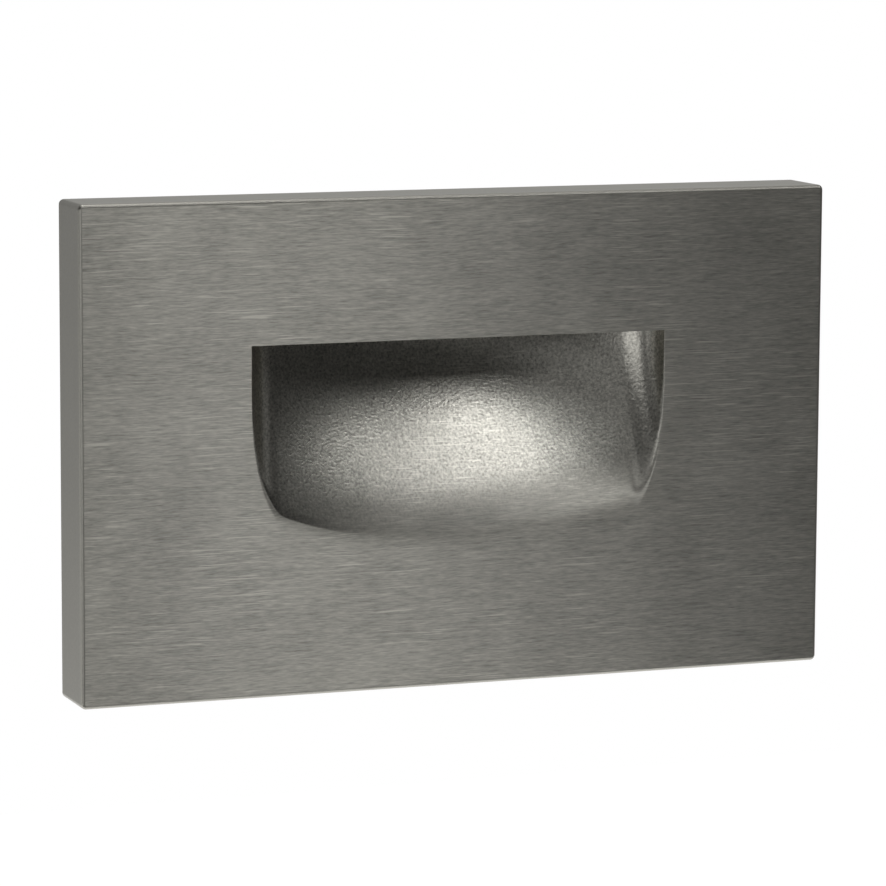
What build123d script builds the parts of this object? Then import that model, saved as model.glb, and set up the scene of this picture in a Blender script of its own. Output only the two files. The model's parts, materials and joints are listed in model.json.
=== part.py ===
"""Step light with a brushed faceplate and a scoop recess, for a two by four inch wall box.

Frame: +X to the viewer's right, +Z up, +Y into the wall. The wall's surface is y = 0, and the
origin is midway between the two screws of the wall box. Everything is in millimetres.
"""

import os
from math import cos, pi, radians, tan

from build123d import *

os.makedirs("parts", exist_ok=True)

# Faceplate: five by three and an eighth inches, as thick as the photograph shows.
PLATE_WIDTH = 127.0
PLATE_HEIGHT = 79.4
PLATE_DEPTH = 11.0
FRONT_WALL = 2.5
RIM_WALL = 3.0
PLATE_CORNER_RADIUS = 0.85
FRONT_EDGE_RADIUS = 0.6
GROOVE_WIDTH = 1.4
GROOVE_DEPTH = 1.2
GROOVE_INSET = 0.8
PAD_AT = (-38.0, 0.0, 38.0)
PAD_WIDTH = 4.0
PAD_BACK = -1.0
LOCK_SCREW_AT = (-45.0, 45.0)
LOCK_SCREW_Y = -4.5
LOCK_BOSS_WIDTH = 8.0
LOCK_BOSS_HEIGHT = 1.4

# Scoop recess: sizes of the hollow, seen from the front.
SCOOP_HALF_WIDTH = 35.3
SCOOP_TOP = 16.7
SCOOP_DEPTH = 11.0
SCOOP_RUNOUT = -21.3
SCOOP_LIFT = 0.6
SCOOP_BOW = 1.3
SCOOP_BOW_SHARE = 0.5
SCOOP_CORNER_RADIUS = 5.5
SCOOP_DRAFT = 14.0
SCOOP_WALL = 1.4
CEILING = 1.8
SCOOP_HEIGHTS = (-14.5, -10.0, -5.0, 0.0, 5.0, 10.0, 14.0, SCOOP_TOP)
SCOOP_LOWEST = -19.0

# Wall box and bracket.
BOX_SCREW_SPACING = 83.3
BRACKET_SHEET = 1.2
BRACKET_WIDTH = 114.0
BRACKET_HEIGHT = 69.6
BRACKET_FLANGE_WIDTH = 100.0
BRACKET_FLANGE_DEPTH = 7.0
SLOT_LENGTH = 7.0
SLOT_WIDTH = 4.2
GROUND_AT = (-44.0, 15.0)

# Rear housing, which passes through the bracket into the wall box.
HOUSING_WIDTH = 71.0
HOUSING_HEIGHT = 48.0
HOUSING_WALL = 1.6
HOUSING_FRONT = -3.0
HOUSING_BACK = 25.2
FLANGE_WIDTH = 74.0
FLANGE_HEIGHT = 66.0
FLANGE_THICKNESS = 1.6
GASKET_THICKNESS = 1.0
RIB_WALL = 2.0
HOUSING_SCREW_AT = (31.8, 27.8)
HOUSING_BOSS_RADIUS = 3.6
POST_AT = (31.6, 20.2)
POST_RADIUS = 3.0
POST_FRONT = 10.0
COVER_GASKET_THICKNESS = 0.8
COVER_THICKNESS = 2.5
FIN_COUNT = 7
FIN_SPACING = 5.4
FIN_THICKNESS = 1.2
FIN_LENGTH = 30.0
FIN_HEIGHT = 1.6

# Light engine on the scoop's ceiling.
WINDOW_LENGTH = 44.0
WINDOW_WIDTH = 3.0
WINDOW_Y = -6.0
LENS_LENGTH = 52.0
LENS_WIDTH = 4.6
LENS_GASKET_THICKNESS = 0.5
LENS_THICKNESS = 1.8
REFLECTOR_HEIGHT = 1.4
LED_BOARD_THICKNESS = 1.0
LED_BOARD_TAIL = 5.0
LED_COUNT = 8
LED_SPACING = 5.6
LED_SIZE = (3.5, 2.8, 0.7)
LED_SOCKET_X = -28.6
LED_SOCKET_WIDTH = 4.2
LED_SOCKET_HEIGHT = 2.4
LED_SOCKET_DEPTH = 3.6
SPREADER_HEAD = 2.3
HOUSING_HEAD = 2.8
PAD_THICKNESS = 0.5
SPREADER_SHEET = 1.5
SPREADER_TOP = 30.6
SPREADER_SPOTS = ((-18.0, 28.2), (18.0, 28.2))
SPREADER_BOSS_RADIUS = 2.6

# Driver on the rear cover.
BOARD_WIDTH = 42.0
BOARD_HEIGHT = 33.6
BOARD_THICKNESS = 1.6
BOARD_X = -11.0
BOARD_Y = 19.9
BOARD_SCREW_SPACING = (36.0, 27.6)
SHEET_THICKNESS = 0.4
STANDOFF_STUD = 1.5
TRANSFORMER_AT = (-20.5, 6.2)
BULK_CAPACITOR_AT = (-21.0, -9.0)
OUTPUT_CAPACITOR_AT = (-11.6, -12.6)
INDUCTOR_AT = (-9.7, -4.8)
FUSE_AT = (-3.0, 10.6)
FILM_CAPACITOR_AT = (-5.4, 2.4)
RECTIFIER_AT = (-2.6, -11.6)
CHIP_AT = (-1.6, -5.0)
RESISTORS_AT = ((-10.4, 8.4), (-10.4, 11.4), (-10.4, 14.4))
TERMINAL_AT = (5.6, 0.0)
TERMINAL_PITCH = 5.0
TERMINAL_WIDTH = 8.0
TERMINAL_HEIGHT = 10.0
LED_CONNECTOR_AT = (-29.4, 3.8)
LEAD_RADIUS = 0.6
LEAD_END_Z = 21.2

# Cable gland in the rear cover.
GLAND_AT = (21.0, 0.0)
GLAND_NECK_RADIUS = 5.9
GLAND_HEX = 15.0
CABLE_RADIUS = 3.0

# Screws: shank radii, and the gap between a shank and its hole.
M4 = 1.95
M3 = 1.45
M25 = 1.2
LOCK_SCREW_LENGTH = 4.2
HOLE_GAP = 0.05

# Positions that follow from the sizes above.
FRONT = -PLATE_DEPTH
INSIDE_FRONT_WALL = FRONT + FRONT_WALL - 0.5
RIM_INNER_HALF_HEIGHT = PLATE_HEIGHT / 2 - RIM_WALL
RIB_BACK = HOUSING_FRONT - GASKET_THICKNESS
FLANGE_BACK = HOUSING_FRONT + FLANGE_THICKNESS
COVER_FRONT = HOUSING_BACK + COVER_GASKET_THICKNESS
COVER_BACK = COVER_FRONT + COVER_THICKNESS
BOARD_BACK = BOARD_Y + BOARD_THICKNESS
CEILING_TOP = SCOOP_TOP + CEILING
LENS_BOTTOM = CEILING_TOP + LENS_GASKET_THICKNESS
LENS_TOP = LENS_BOTTOM + LENS_THICKNESS
LED_BOARD_BOTTOM = LENS_TOP + REFLECTOR_HEIGHT
LED_BOARD_TOP = LED_BOARD_BOTTOM + LED_BOARD_THICKNESS
SPREADER_BOTTOM = LED_BOARD_TOP + PAD_THICKNESS
STACK_BACK = WINDOW_Y + LENS_WIDTH / 2
STACK_FRONT = WINDOW_Y - LENS_WIDTH / 2
SPREADER_SEAT = STACK_BACK - SPREADER_SHEET
FLANGE_TIP_Z = BRACKET_HEIGHT / 2

UP = (Align.CENTER, Align.CENTER, Align.MIN)
DOWN = (Align.CENTER, Align.CENTER, Align.MAX)


def facing_front(y):
    """A plane at this y whose normal points out of the wall; its axes are X and Z."""
    return Plane.XZ.offset(-y)


def facing_back(y):
    """A plane at this y whose normal points into the wall; its axes are -X and Z."""
    return Plane(origin=(0, y, 0), x_dir=(-1, 0, 0), z_dir=(0, 1, 0))


def four_corners(spot):
    """The spot and its mirror images in the four quarters."""
    x, z = spot
    return [(x, z), (-x, z), (-x, -z), (x, -z)]


def fasteners(seat, spots, shank, length, head, head_height, sunk=False):
    """Screws with a cross recess, their heads on the seat plane, or below it when sunk."""
    along = Axis(seat.origin, seat.z_dir)
    with BuildPart(seat) as screws:
        with Locations(*spots):
            if sunk:
                Cone(shank, head, head_height, align=DOWN)
            else:
                Cylinder(head, head_height, align=UP)
        if not sunk:
            fillet(screws.edges().group_by(along)[-1], head_height * 0.4)
        with Locations(*spots):
            Cylinder(shank, length, align=DOWN)
        with BuildSketch(seat if sunk else seat.offset(head_height)):
            with Locations(*spots):
                Rectangle(head * 1.1, head * 0.26)
                Rectangle(head * 0.26, head * 1.1)
        extrude(amount=-head_height * 0.6, mode=Mode.SUBTRACT)
    return screws


def floor_depth(z):
    """Depth of the scoop's floor on its centre line: half a cosine wave from run-out to top."""
    wave = (1 - cos(pi * (z - SCOOP_RUNOUT) / (SCOOP_TOP - SCOOP_RUNOUT))) / 2
    return (SCOOP_DEPTH + SCOOP_LIFT) * wave - SCOOP_LIFT


def scoop_section(z, grow, mouth):
    """A level cut through the hollow, grown by a wall: drafted sides, round corners, bowed floor."""
    depth = floor_depth(z)
    floor_y = FRONT + depth + grow
    side_y = floor_y - SCOOP_BOW - SCOOP_BOW_SHARE * depth
    slope = tan(radians(SCOOP_DRAFT))
    side_x = SCOOP_HALF_WIDTH + grow - (side_y - FRONT) * slope
    mouth_x = SCOOP_HALF_WIDTH + grow - (mouth - FRONT) * slope
    with BuildSketch(Plane.XY.offset(z)) as cut:
        with BuildLine():
            Line((-mouth_x, mouth), (-side_x, side_y))
            ThreePointArc((-side_x, side_y), (0, floor_y), (side_x, side_y))
            Line((side_x, side_y), (mouth_x, mouth))
            Line((mouth_x, mouth), (-mouth_x, mouth))
        make_face()
        fillet(cut.vertices().sort_by(Axis.Y)[-2:], SCOOP_CORNER_RADIUS + grow)
    return cut.sketch


# ---------------------------------------------------------------- faceplate
# The outside of the scoop's wall, cut off inside the front wall.
with BuildPart() as scoop_wall:
    loft([scoop_section(height, SCOOP_WALL, 2 * FRONT) for height in SCOOP_HEIGHTS])
    extrude(scoop_wall.faces().sort_by(Axis.Z)[-1], amount=CEILING)
    split(bisect_by=facing_back(FRONT + FRONT_WALL / 2), keep=Keep.TOP)

with BuildPart() as faceplate:
    with BuildSketch(Plane.XZ):
        Rectangle(PLATE_WIDTH, PLATE_HEIGHT)
    extrude(amount=PLATE_DEPTH)
    fillet(faceplate.edges().filter_by(Axis.Y), PLATE_CORNER_RADIUS)
    fillet(faceplate.faces().sort_by(Axis.Y)[0].edges(), FRONT_EDGE_RADIUS)
    with BuildSketch(Plane.XZ):
        Rectangle(PLATE_WIDTH - 2 * RIM_WALL, PLATE_HEIGHT - 2 * RIM_WALL)
    extrude(amount=PLATE_DEPTH - FRONT_WALL, mode=Mode.SUBTRACT)
    add(scoop_wall.part)
    # Sealing rib, and the bosses of the housing screws in its corners.
    with BuildSketch(facing_front(RIB_BACK)):
        Rectangle(FLANGE_WIDTH, FLANGE_HEIGHT)
        Rectangle(FLANGE_WIDTH - 2 * RIB_WALL, FLANGE_HEIGHT - 2 * RIB_WALL, mode=Mode.SUBTRACT)
        with Locations(*four_corners(HOUSING_SCREW_AT)):
            Circle(HOUSING_BOSS_RADIUS)
    extrude(amount=RIB_BACK - INSIDE_FRONT_WALL)
    # Bosses of the heat spreader.
    with BuildSketch(facing_front(SPREADER_SEAT)):
        with Locations(*SPREADER_SPOTS):
            Circle(SPREADER_BOSS_RADIUS)
    extrude(amount=SPREADER_SEAT - INSIDE_FRONT_WALL)
    # Pads that rest on the bracket's upper flange, and bosses of the lock screws.
    with BuildSketch(facing_front(PAD_BACK)):
        with Locations(*[(x, RIM_INNER_HALF_HEIGHT) for x in PAD_AT]):
            Rectangle(PAD_WIDTH, 2 * (RIM_INNER_HALF_HEIGHT - FLANGE_TIP_Z - HOLE_GAP))
        with Locations(*[(x, -RIM_INNER_HALF_HEIGHT) for x in LOCK_SCREW_AT]):
            Rectangle(LOCK_BOSS_WIDTH, 2 * LOCK_BOSS_HEIGHT)
    extrude(amount=PAD_BACK - INSIDE_FRONT_WALL)
    # Groove of the wall gasket in the back of the rim.
    with BuildSketch(Plane.XZ):
        Rectangle(PLATE_WIDTH - 2 * GROOVE_INSET, PLATE_HEIGHT - 2 * GROOVE_INSET)
        inner = GROOVE_INSET + GROOVE_WIDTH
        Rectangle(PLATE_WIDTH - 2 * inner, PLATE_HEIGHT - 2 * inner, mode=Mode.SUBTRACT)
    extrude(amount=GROOVE_DEPTH, mode=Mode.SUBTRACT)
    # The hollow of the scoop and the light's window in its ceiling.
    hollow = [scoop_section(height, 0, 2 * FRONT) for height in (SCOOP_LOWEST, *SCOOP_HEIGHTS)]
    loft(hollow, mode=Mode.SUBTRACT)
    with BuildSketch(Plane.XY.offset(SCOOP_TOP - 1)):
        with Locations((0, WINDOW_Y)):
            SlotOverall(WINDOW_LENGTH, WINDOW_WIDTH)
    extrude(amount=CEILING + 2, mode=Mode.SUBTRACT)
    # Tapped holes.
    with BuildSketch(facing_front(RIB_BACK)):
        with Locations(*four_corners(HOUSING_SCREW_AT)):
            Circle(M3 + HOLE_GAP)
    extrude(amount=5.0, mode=Mode.SUBTRACT)
    with BuildSketch(facing_front(SPREADER_SEAT)):
        with Locations(*SPREADER_SPOTS):
            Circle(M25 + HOLE_GAP)
    extrude(amount=4.0, mode=Mode.SUBTRACT)
    with BuildSketch(Plane.XY.offset(-PLATE_HEIGHT / 2)):
        with Locations(*[(x, LOCK_SCREW_Y) for x in LOCK_SCREW_AT]):
            Circle(M4 + HOLE_GAP)
    extrude(amount=RIM_WALL + 2, mode=Mode.SUBTRACT)
faceplate.part.label = "faceplate"
export_step(faceplate.part, "parts/faceplate.step")

# ---------------------------------------------------------------- light engine
with BuildPart() as lens_gasket:
    with BuildSketch(Plane.XY.offset(CEILING_TOP)):
        with Locations((0, WINDOW_Y)):
            Rectangle(LENS_LENGTH, LENS_WIDTH)
            SlotOverall(WINDOW_LENGTH + 1, WINDOW_WIDTH + 0.3, mode=Mode.SUBTRACT)
    extrude(amount=LENS_GASKET_THICKNESS)
lens_gasket.part.label = "lens_gasket"
export_step(lens_gasket.part, "parts/lens_gasket.step")

with BuildPart() as lens:
    with BuildSketch(Plane.XY.offset(LENS_BOTTOM)):
        with Locations((0, WINDOW_Y)):
            RectangleRounded(LENS_LENGTH, LENS_WIDTH, 0.6)
    extrude(amount=LENS_THICKNESS)
lens.part.label = "lens"
export_step(lens.part, "parts/lens.step")

with BuildPart() as reflector_frame:
    with BuildSketch(Plane.XY.offset(LENS_TOP)):
        with Locations((0, WINDOW_Y)):
            RectangleRounded(LENS_LENGTH, LENS_WIDTH, 0.6)
            Rectangle(WINDOW_LENGTH + 1, WINDOW_WIDTH + 0.1, mode=Mode.SUBTRACT)
    extrude(amount=REFLECTOR_HEIGHT)
reflector_frame.part.label = "reflector_frame"
export_step(reflector_frame.part, "parts/reflector_frame.step")

with BuildPart() as led_board:
    with BuildSketch(Plane.XY.offset(LED_BOARD_BOTTOM)):
        with Locations((-LED_BOARD_TAIL / 2, WINDOW_Y)):
            Rectangle(LENS_LENGTH + LED_BOARD_TAIL, LENS_WIDTH)
    extrude(amount=LED_BOARD_THICKNESS)
led_board.part.label = "led_board"
export_step(led_board.part, "parts/led_board.step")

with BuildPart(Plane.XY.offset(LED_BOARD_BOTTOM)) as led_packages:
    with Locations((0, WINDOW_Y)):
        with GridLocations(LED_SPACING, 1, LED_COUNT, 1):
            Box(*LED_SIZE, align=DOWN)
led_packages.part.label = "led_packages"
export_step(led_packages.part, "parts/led_packages.step")

# The socket under the board's tail takes the two leads from behind.
with BuildPart() as led_socket:
    with BuildSketch(facing_front(STACK_BACK)):
        with Locations((LED_SOCKET_X, LED_BOARD_BOTTOM - LED_SOCKET_HEIGHT / 2)):
            Rectangle(LED_SOCKET_WIDTH, LED_SOCKET_HEIGHT)
    extrude(amount=LED_SOCKET_DEPTH)
    chamfer(led_socket.edges().filter_by(Axis.Y).group_by(Axis.Z)[0], 0.3)
led_socket.part.label = "led_socket"
export_step(led_socket.part, "parts/led_socket.step")

with BuildPart() as thermal_pad:
    with BuildSketch(Plane.XY.offset(LED_BOARD_TOP)):
        with Locations((0, WINDOW_Y)):
            Rectangle(LENS_LENGTH - 1, LENS_WIDTH - 0.3)
    extrude(amount=PAD_THICKNESS)
thermal_pad.part.label = "thermal_pad"
export_step(thermal_pad.part, "parts/thermal_pad.step")

with BuildPart() as heat_spreader:
    with BuildSketch(Plane.XY.offset(SPREADER_BOTTOM)):
        with Locations((0, WINDOW_Y)):
            Rectangle(LENS_LENGTH, LENS_WIDTH)
    extrude(amount=SPREADER_SHEET)
    with BuildSketch(facing_front(STACK_BACK)):
        with Locations((0, (SPREADER_BOTTOM + SPREADER_TOP) / 2)):
            Rectangle(LENS_LENGTH, SPREADER_TOP - SPREADER_BOTTOM)
    extrude(amount=SPREADER_SHEET)
    fillet(heat_spreader.edges().filter_by(Axis.X).group_by(Axis.Z)[0].sort_by(Axis.Y)[-1], 0.9)
    fillet(heat_spreader.edges().filter_by(Axis.Y).group_by(Axis.Z)[-1], 1.5)
    with Locations(*[facing_back(STACK_BACK) * Pos(x, z, 0) for x, z in SPREADER_SPOTS]):
        CounterSinkHole(M25 + HOLE_GAP, SPREADER_HEAD + HOLE_GAP)
heat_spreader.part.label = "heat_spreader"
export_step(heat_spreader.part, "parts/heat_spreader.step")

spreader_screws = fasteners(facing_back(STACK_BACK), SPREADER_SPOTS, M25, 5.0, SPREADER_HEAD, 1.1, True)
spreader_screws.part.label = "spreader_screws"
export_step(spreader_screws.part, "parts/spreader_screws.step")

# ---------------------------------------------------------------- rear housing
INNER_WIDTH = HOUSING_WIDTH - 2 * HOUSING_WALL
INNER_HEIGHT = HOUSING_HEIGHT - 2 * HOUSING_WALL
with BuildPart() as rear_housing:
    with BuildSketch(facing_front(FLANGE_BACK)):
        RectangleRounded(FLANGE_WIDTH, FLANGE_HEIGHT, 2.0)
    extrude(amount=FLANGE_THICKNESS)
    with BuildSketch(facing_back(FLANGE_BACK)):
        RectangleRounded(HOUSING_WIDTH, HOUSING_HEIGHT, 2.5)
    extrude(amount=HOUSING_BACK - FLANGE_BACK)
    with BuildSketch(facing_back(HOUSING_FRONT)):
        RectangleRounded(INNER_WIDTH, INNER_HEIGHT, 1.2)
    extrude(amount=HOUSING_BACK - HOUSING_FRONT, mode=Mode.SUBTRACT)
    with BuildSketch(facing_back(POST_FRONT)):
        with Locations(*four_corners(POST_AT)):
            Circle(POST_RADIUS)
    extrude(amount=HOUSING_BACK - POST_FRONT)
    with BuildSketch(facing_back(POST_FRONT)):
        with Locations(*four_corners(POST_AT)):
            Circle(M3 + HOLE_GAP)
    extrude(amount=HOUSING_BACK - POST_FRONT, mode=Mode.SUBTRACT)
    with Locations(*[facing_back(FLANGE_BACK) * Pos(x, z, 0) for x, z in four_corners(HOUSING_SCREW_AT)]):
        CounterSinkHole(M3 + HOLE_GAP, HOUSING_HEAD + HOLE_GAP)
rear_housing.part.label = "rear_housing"
export_step(rear_housing.part, "parts/rear_housing.step")

with BuildPart() as housing_gasket:
    with BuildSketch(facing_front(HOUSING_FRONT)):
        RectangleRounded(FLANGE_WIDTH, FLANGE_HEIGHT, 2.0)
        Rectangle(FLANGE_WIDTH - 2 * RIB_WALL, FLANGE_HEIGHT - 2 * RIB_WALL, mode=Mode.SUBTRACT)
        with Locations(*four_corners(HOUSING_SCREW_AT)):
            Circle(HOUSING_BOSS_RADIUS)
            Circle(M3 + 2 * HOLE_GAP, mode=Mode.SUBTRACT)
    extrude(amount=GASKET_THICKNESS)
housing_gasket.part.label = "housing_gasket"
export_step(housing_gasket.part, "parts/housing_gasket.step")

housing_screws = fasteners(
    facing_back(FLANGE_BACK), four_corners(HOUSING_SCREW_AT), M3, 7.0, HOUSING_HEAD, 1.4, True
)
housing_screws.part.label = "housing_screws"
export_step(housing_screws.part, "parts/housing_screws.step")

with BuildPart() as cover_gasket:
    with BuildSketch(facing_back(HOUSING_BACK)):
        RectangleRounded(HOUSING_WIDTH - 0.4, HOUSING_HEIGHT - 0.4, 2.3)
        RectangleRounded(INNER_WIDTH, INNER_HEIGHT, 1.2, mode=Mode.SUBTRACT)
        with Locations(*four_corners(POST_AT)):
            Circle(POST_RADIUS)
            Circle(M3 + 2 * HOLE_GAP, mode=Mode.SUBTRACT)
    extrude(amount=COVER_GASKET_THICKNESS)
cover_gasket.part.label = "cover_gasket"
export_step(cover_gasket.part, "parts/cover_gasket.step")

with BuildPart() as rear_cover:
    with BuildSketch(facing_back(COVER_FRONT)):
        RectangleRounded(HOUSING_WIDTH, HOUSING_HEIGHT, 2.5)
    extrude(amount=COVER_THICKNESS)
    fillet(rear_cover.faces().sort_by(Axis.Y)[-1].edges(), 0.6)
    # Cooling fins stand on the half that the driver's board lies behind.
    with BuildSketch(facing_back(COVER_BACK)):
        with Locations((-BOARD_X, 0)):
            with GridLocations(FIN_SPACING, 1, FIN_COUNT, 1):
                RectangleRounded(FIN_THICKNESS, FIN_LENGTH, 0.55)
    extrude(amount=FIN_HEIGHT)
    with BuildSketch(facing_back(COVER_FRONT)):
        with Locations(*four_corners(POST_AT)):
            Circle(M3 + HOLE_GAP)
        with Locations((-GLAND_AT[0], GLAND_AT[1])):
            Circle(GLAND_NECK_RADIUS + HOLE_GAP)
    extrude(amount=COVER_THICKNESS, mode=Mode.SUBTRACT)
    with BuildSketch(facing_back(COVER_FRONT)):
        with Locations((-BOARD_X, 0)):
            with GridLocations(*BOARD_SCREW_SPACING, 2, 2):
                Circle(M25 + HOLE_GAP)
    extrude(amount=STANDOFF_STUD + HOLE_GAP, mode=Mode.SUBTRACT)
rear_cover.part.label = "rear_cover"
export_step(rear_cover.part, "parts/rear_cover.step")

cover_screws = fasteners(facing_back(COVER_BACK), four_corners(POST_AT), M3, 8.0, 2.6, 1.8)
cover_screws.part.label = "cover_screws"
export_step(cover_screws.part, "parts/cover_screws.step")

# ---------------------------------------------------------------- cable gland
# Stations along the gland's axis, from the inside of the housing outwards.
NECK_INNER_END = COVER_FRONT - 5.0
O_RING_BACK = COVER_BACK + 1.0
HEX_BACK = O_RING_BACK + 3.5
MOUTH_BACK = HEX_BACK + 5.5
NUT_FRONT = HEX_BACK + 0.8
NUT_BACK = NUT_FRONT + 9.0
SEAL_FRONT = HEX_BACK - 1.0
SEAL_BACK = MOUTH_BACK + 1.2
MOUTH_RADIUS = 5.6
SEAL_RADIUS = 4.6
GLAND_BORE_RADIUS = 3.9

with BuildPart() as gland_body:
    with BuildSketch(facing_back(NECK_INNER_END)):
        with Locations((-GLAND_AT[0], GLAND_AT[1])):
            Circle(GLAND_NECK_RADIUS)
    extrude(amount=O_RING_BACK - NECK_INNER_END)
    with BuildSketch(facing_back(O_RING_BACK)):
        with Locations((-GLAND_AT[0], GLAND_AT[1])):
            RegularPolygon(GLAND_HEX / 2, 6, major_radius=False)
    extrude(amount=HEX_BACK - O_RING_BACK)
    with BuildSketch(facing_back(HEX_BACK)):
        with Locations((-GLAND_AT[0], GLAND_AT[1])):
            Circle(MOUTH_RADIUS)
    extrude(amount=MOUTH_BACK - HEX_BACK)
    with BuildSketch(facing_back(NECK_INNER_END)):
        with Locations((-GLAND_AT[0], GLAND_AT[1])):
            Circle(GLAND_BORE_RADIUS)
    extrude(amount=MOUTH_BACK - NECK_INNER_END, mode=Mode.SUBTRACT)
    with BuildSketch(facing_back(SEAL_FRONT)):
        with Locations((-GLAND_AT[0], GLAND_AT[1])):
            Circle(SEAL_RADIUS)
    extrude(amount=MOUTH_BACK - SEAL_FRONT, mode=Mode.SUBTRACT)
gland_body.part.label = "gland_body"
export_step(gland_body.part, "parts/gland_body.step")

with BuildPart() as gland_o_ring:
    with BuildSketch(facing_back(COVER_BACK)):
        with Locations((-GLAND_AT[0], GLAND_AT[1])):
            Circle(GLAND_HEX / 2 - 0.3)
            Circle(GLAND_NECK_RADIUS, mode=Mode.SUBTRACT)
    extrude(amount=O_RING_BACK - COVER_BACK)
    fillet(gland_o_ring.edges().group_by(Axis.Y)[-1].sort_by(SortBy.LENGTH)[-1], 0.3)
gland_o_ring.part.label = "gland_o_ring"
export_step(gland_o_ring.part, "parts/gland_o_ring.step")

with BuildPart() as gland_locknut:
    with BuildSketch(facing_front(COVER_FRONT)):
        with Locations(GLAND_AT):
            RegularPolygon(GLAND_HEX / 2, 6, major_radius=False)
            Circle(GLAND_NECK_RADIUS, mode=Mode.SUBTRACT)
    extrude(amount=3.5)
gland_locknut.part.label = "gland_locknut"
export_step(gland_locknut.part, "parts/gland_locknut.step")

with BuildPart() as gland_seal:
    with BuildSketch(facing_back(SEAL_FRONT)):
        with Locations((-GLAND_AT[0], GLAND_AT[1])):
            Circle(SEAL_RADIUS)
    extrude(amount=SEAL_BACK - SEAL_FRONT)
    chamfer(gland_seal.faces().sort_by(Axis.Y)[-1].edges(), 0.9)
    with BuildSketch(facing_back(SEAL_FRONT)):
        with Locations((-GLAND_AT[0], GLAND_AT[1])):
            Circle(CABLE_RADIUS)
    extrude(amount=SEAL_BACK - SEAL_FRONT, mode=Mode.SUBTRACT)
gland_seal.part.label = "gland_seal"
export_step(gland_seal.part, "parts/gland_seal.step")

with BuildPart() as gland_nut:
    with BuildSketch(facing_back(NUT_FRONT)):
        with Locations((-GLAND_AT[0], GLAND_AT[1])):
            RegularPolygon(GLAND_HEX / 2, 6, major_radius=False)
    extrude(amount=5.5)
    with BuildSketch(facing_back(NUT_FRONT + 5.5)):
        with Locations((-GLAND_AT[0], GLAND_AT[1])):
            Circle(GLAND_HEX / 2 - 0.4)
    extrude(amount=NUT_BACK - NUT_FRONT - 5.5)
    fillet(gland_nut.faces().sort_by(Axis.Y)[-1].edges(), 2.0)
    with BuildSketch(facing_back(NUT_FRONT)):
        with Locations((-GLAND_AT[0], GLAND_AT[1])):
            Circle(MOUTH_RADIUS + HOLE_GAP)
    extrude(amount=SEAL_BACK - NUT_FRONT + 0.1, mode=Mode.SUBTRACT)
    with BuildSketch(facing_back(NUT_FRONT)):
        with Locations((-GLAND_AT[0], GLAND_AT[1])):
            Circle(GLAND_BORE_RADIUS)
    extrude(amount=NUT_BACK - NUT_FRONT, mode=Mode.SUBTRACT)
gland_nut.part.label = "gland_nut"
export_step(gland_nut.part, "parts/gland_nut.step")

# ---------------------------------------------------------------- driver
STANDOFF_HEX = 5.0
BOARD_LEFT = BOARD_X - BOARD_WIDTH / 2
with BuildPart() as driver_board:
    with BuildSketch(facing_back(BOARD_Y)):
        with Locations((-BOARD_X, 0)):
            RectangleRounded(BOARD_WIDTH, BOARD_HEIGHT, 1.0)
            with GridLocations(*BOARD_SCREW_SPACING, 2, 2):
                Circle(M25 + HOLE_GAP, mode=Mode.SUBTRACT)
    extrude(amount=BOARD_THICKNESS)
driver_board.part.label = "driver_board"
export_step(driver_board.part, "parts/driver_board.step")

with BuildPart() as board_standoffs:
    with BuildSketch(facing_back(BOARD_BACK)):
        with Locations((-BOARD_X, 0)):
            with GridLocations(*BOARD_SCREW_SPACING, 2, 2):
                RegularPolygon(STANDOFF_HEX / 2, 6, major_radius=False)
    extrude(amount=COVER_FRONT - BOARD_BACK)
    with BuildSketch(facing_back(COVER_FRONT)):
        with Locations((-BOARD_X, 0)):
            with GridLocations(*BOARD_SCREW_SPACING, 2, 2):
                Circle(M25)
    extrude(amount=STANDOFF_STUD)
    with BuildSketch(facing_back(BOARD_BACK)):
        with Locations((-BOARD_X, 0)):
            with GridLocations(*BOARD_SCREW_SPACING, 2, 2):
                Circle(M25 + HOLE_GAP)
    extrude(amount=3.8, mode=Mode.SUBTRACT)
board_standoffs.part.label = "board_standoffs"
export_step(board_standoffs.part, "parts/board_standoffs.step")

BOARD_SCREWS = [
    (BOARD_X + side * BOARD_SCREW_SPACING[0] / 2, level * BOARD_SCREW_SPACING[1] / 2)
    for side in (-1, 1)
    for level in (-1, 1)
]
board_screws = fasteners(facing_front(BOARD_Y), BOARD_SCREWS, M25, 5.0, 2.2, 1.6)
board_screws.part.label = "board_screws"
export_step(board_screws.part, "parts/board_screws.step")

with BuildPart() as insulator_sheet:
    with BuildSketch(facing_front(COVER_FRONT)):
        with Locations((BOARD_X, 0)):
            Rectangle(BOARD_WIDTH, BOARD_HEIGHT)
            with GridLocations(*BOARD_SCREW_SPACING, 2, 2):
                Rectangle(STANDOFF_HEX + 1.2, STANDOFF_HEX + 1.2, mode=Mode.SUBTRACT)
    extrude(amount=SHEET_THICKNESS)
insulator_sheet.part.label = "insulator_sheet"
export_step(insulator_sheet.part, "parts/insulator_sheet.step")

with BuildPart() as transformer_core:
    with BuildSketch(facing_front(BOARD_Y - 2.0)):
        with Locations(TRANSFORMER_AT):
            Rectangle(13.0, 6.0)
    extrude(amount=9.5)
    with BuildSketch(facing_front(BOARD_Y - 4.5)):
        with Locations(TRANSFORMER_AT):
            Rectangle(8.6, 6.0)
            Rectangle(3.2, 6.0, mode=Mode.SUBTRACT)
    extrude(amount=4.5, mode=Mode.SUBTRACT)
transformer_core.part.label = "transformer_core"
export_step(transformer_core.part, "parts/transformer_core.step")

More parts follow.
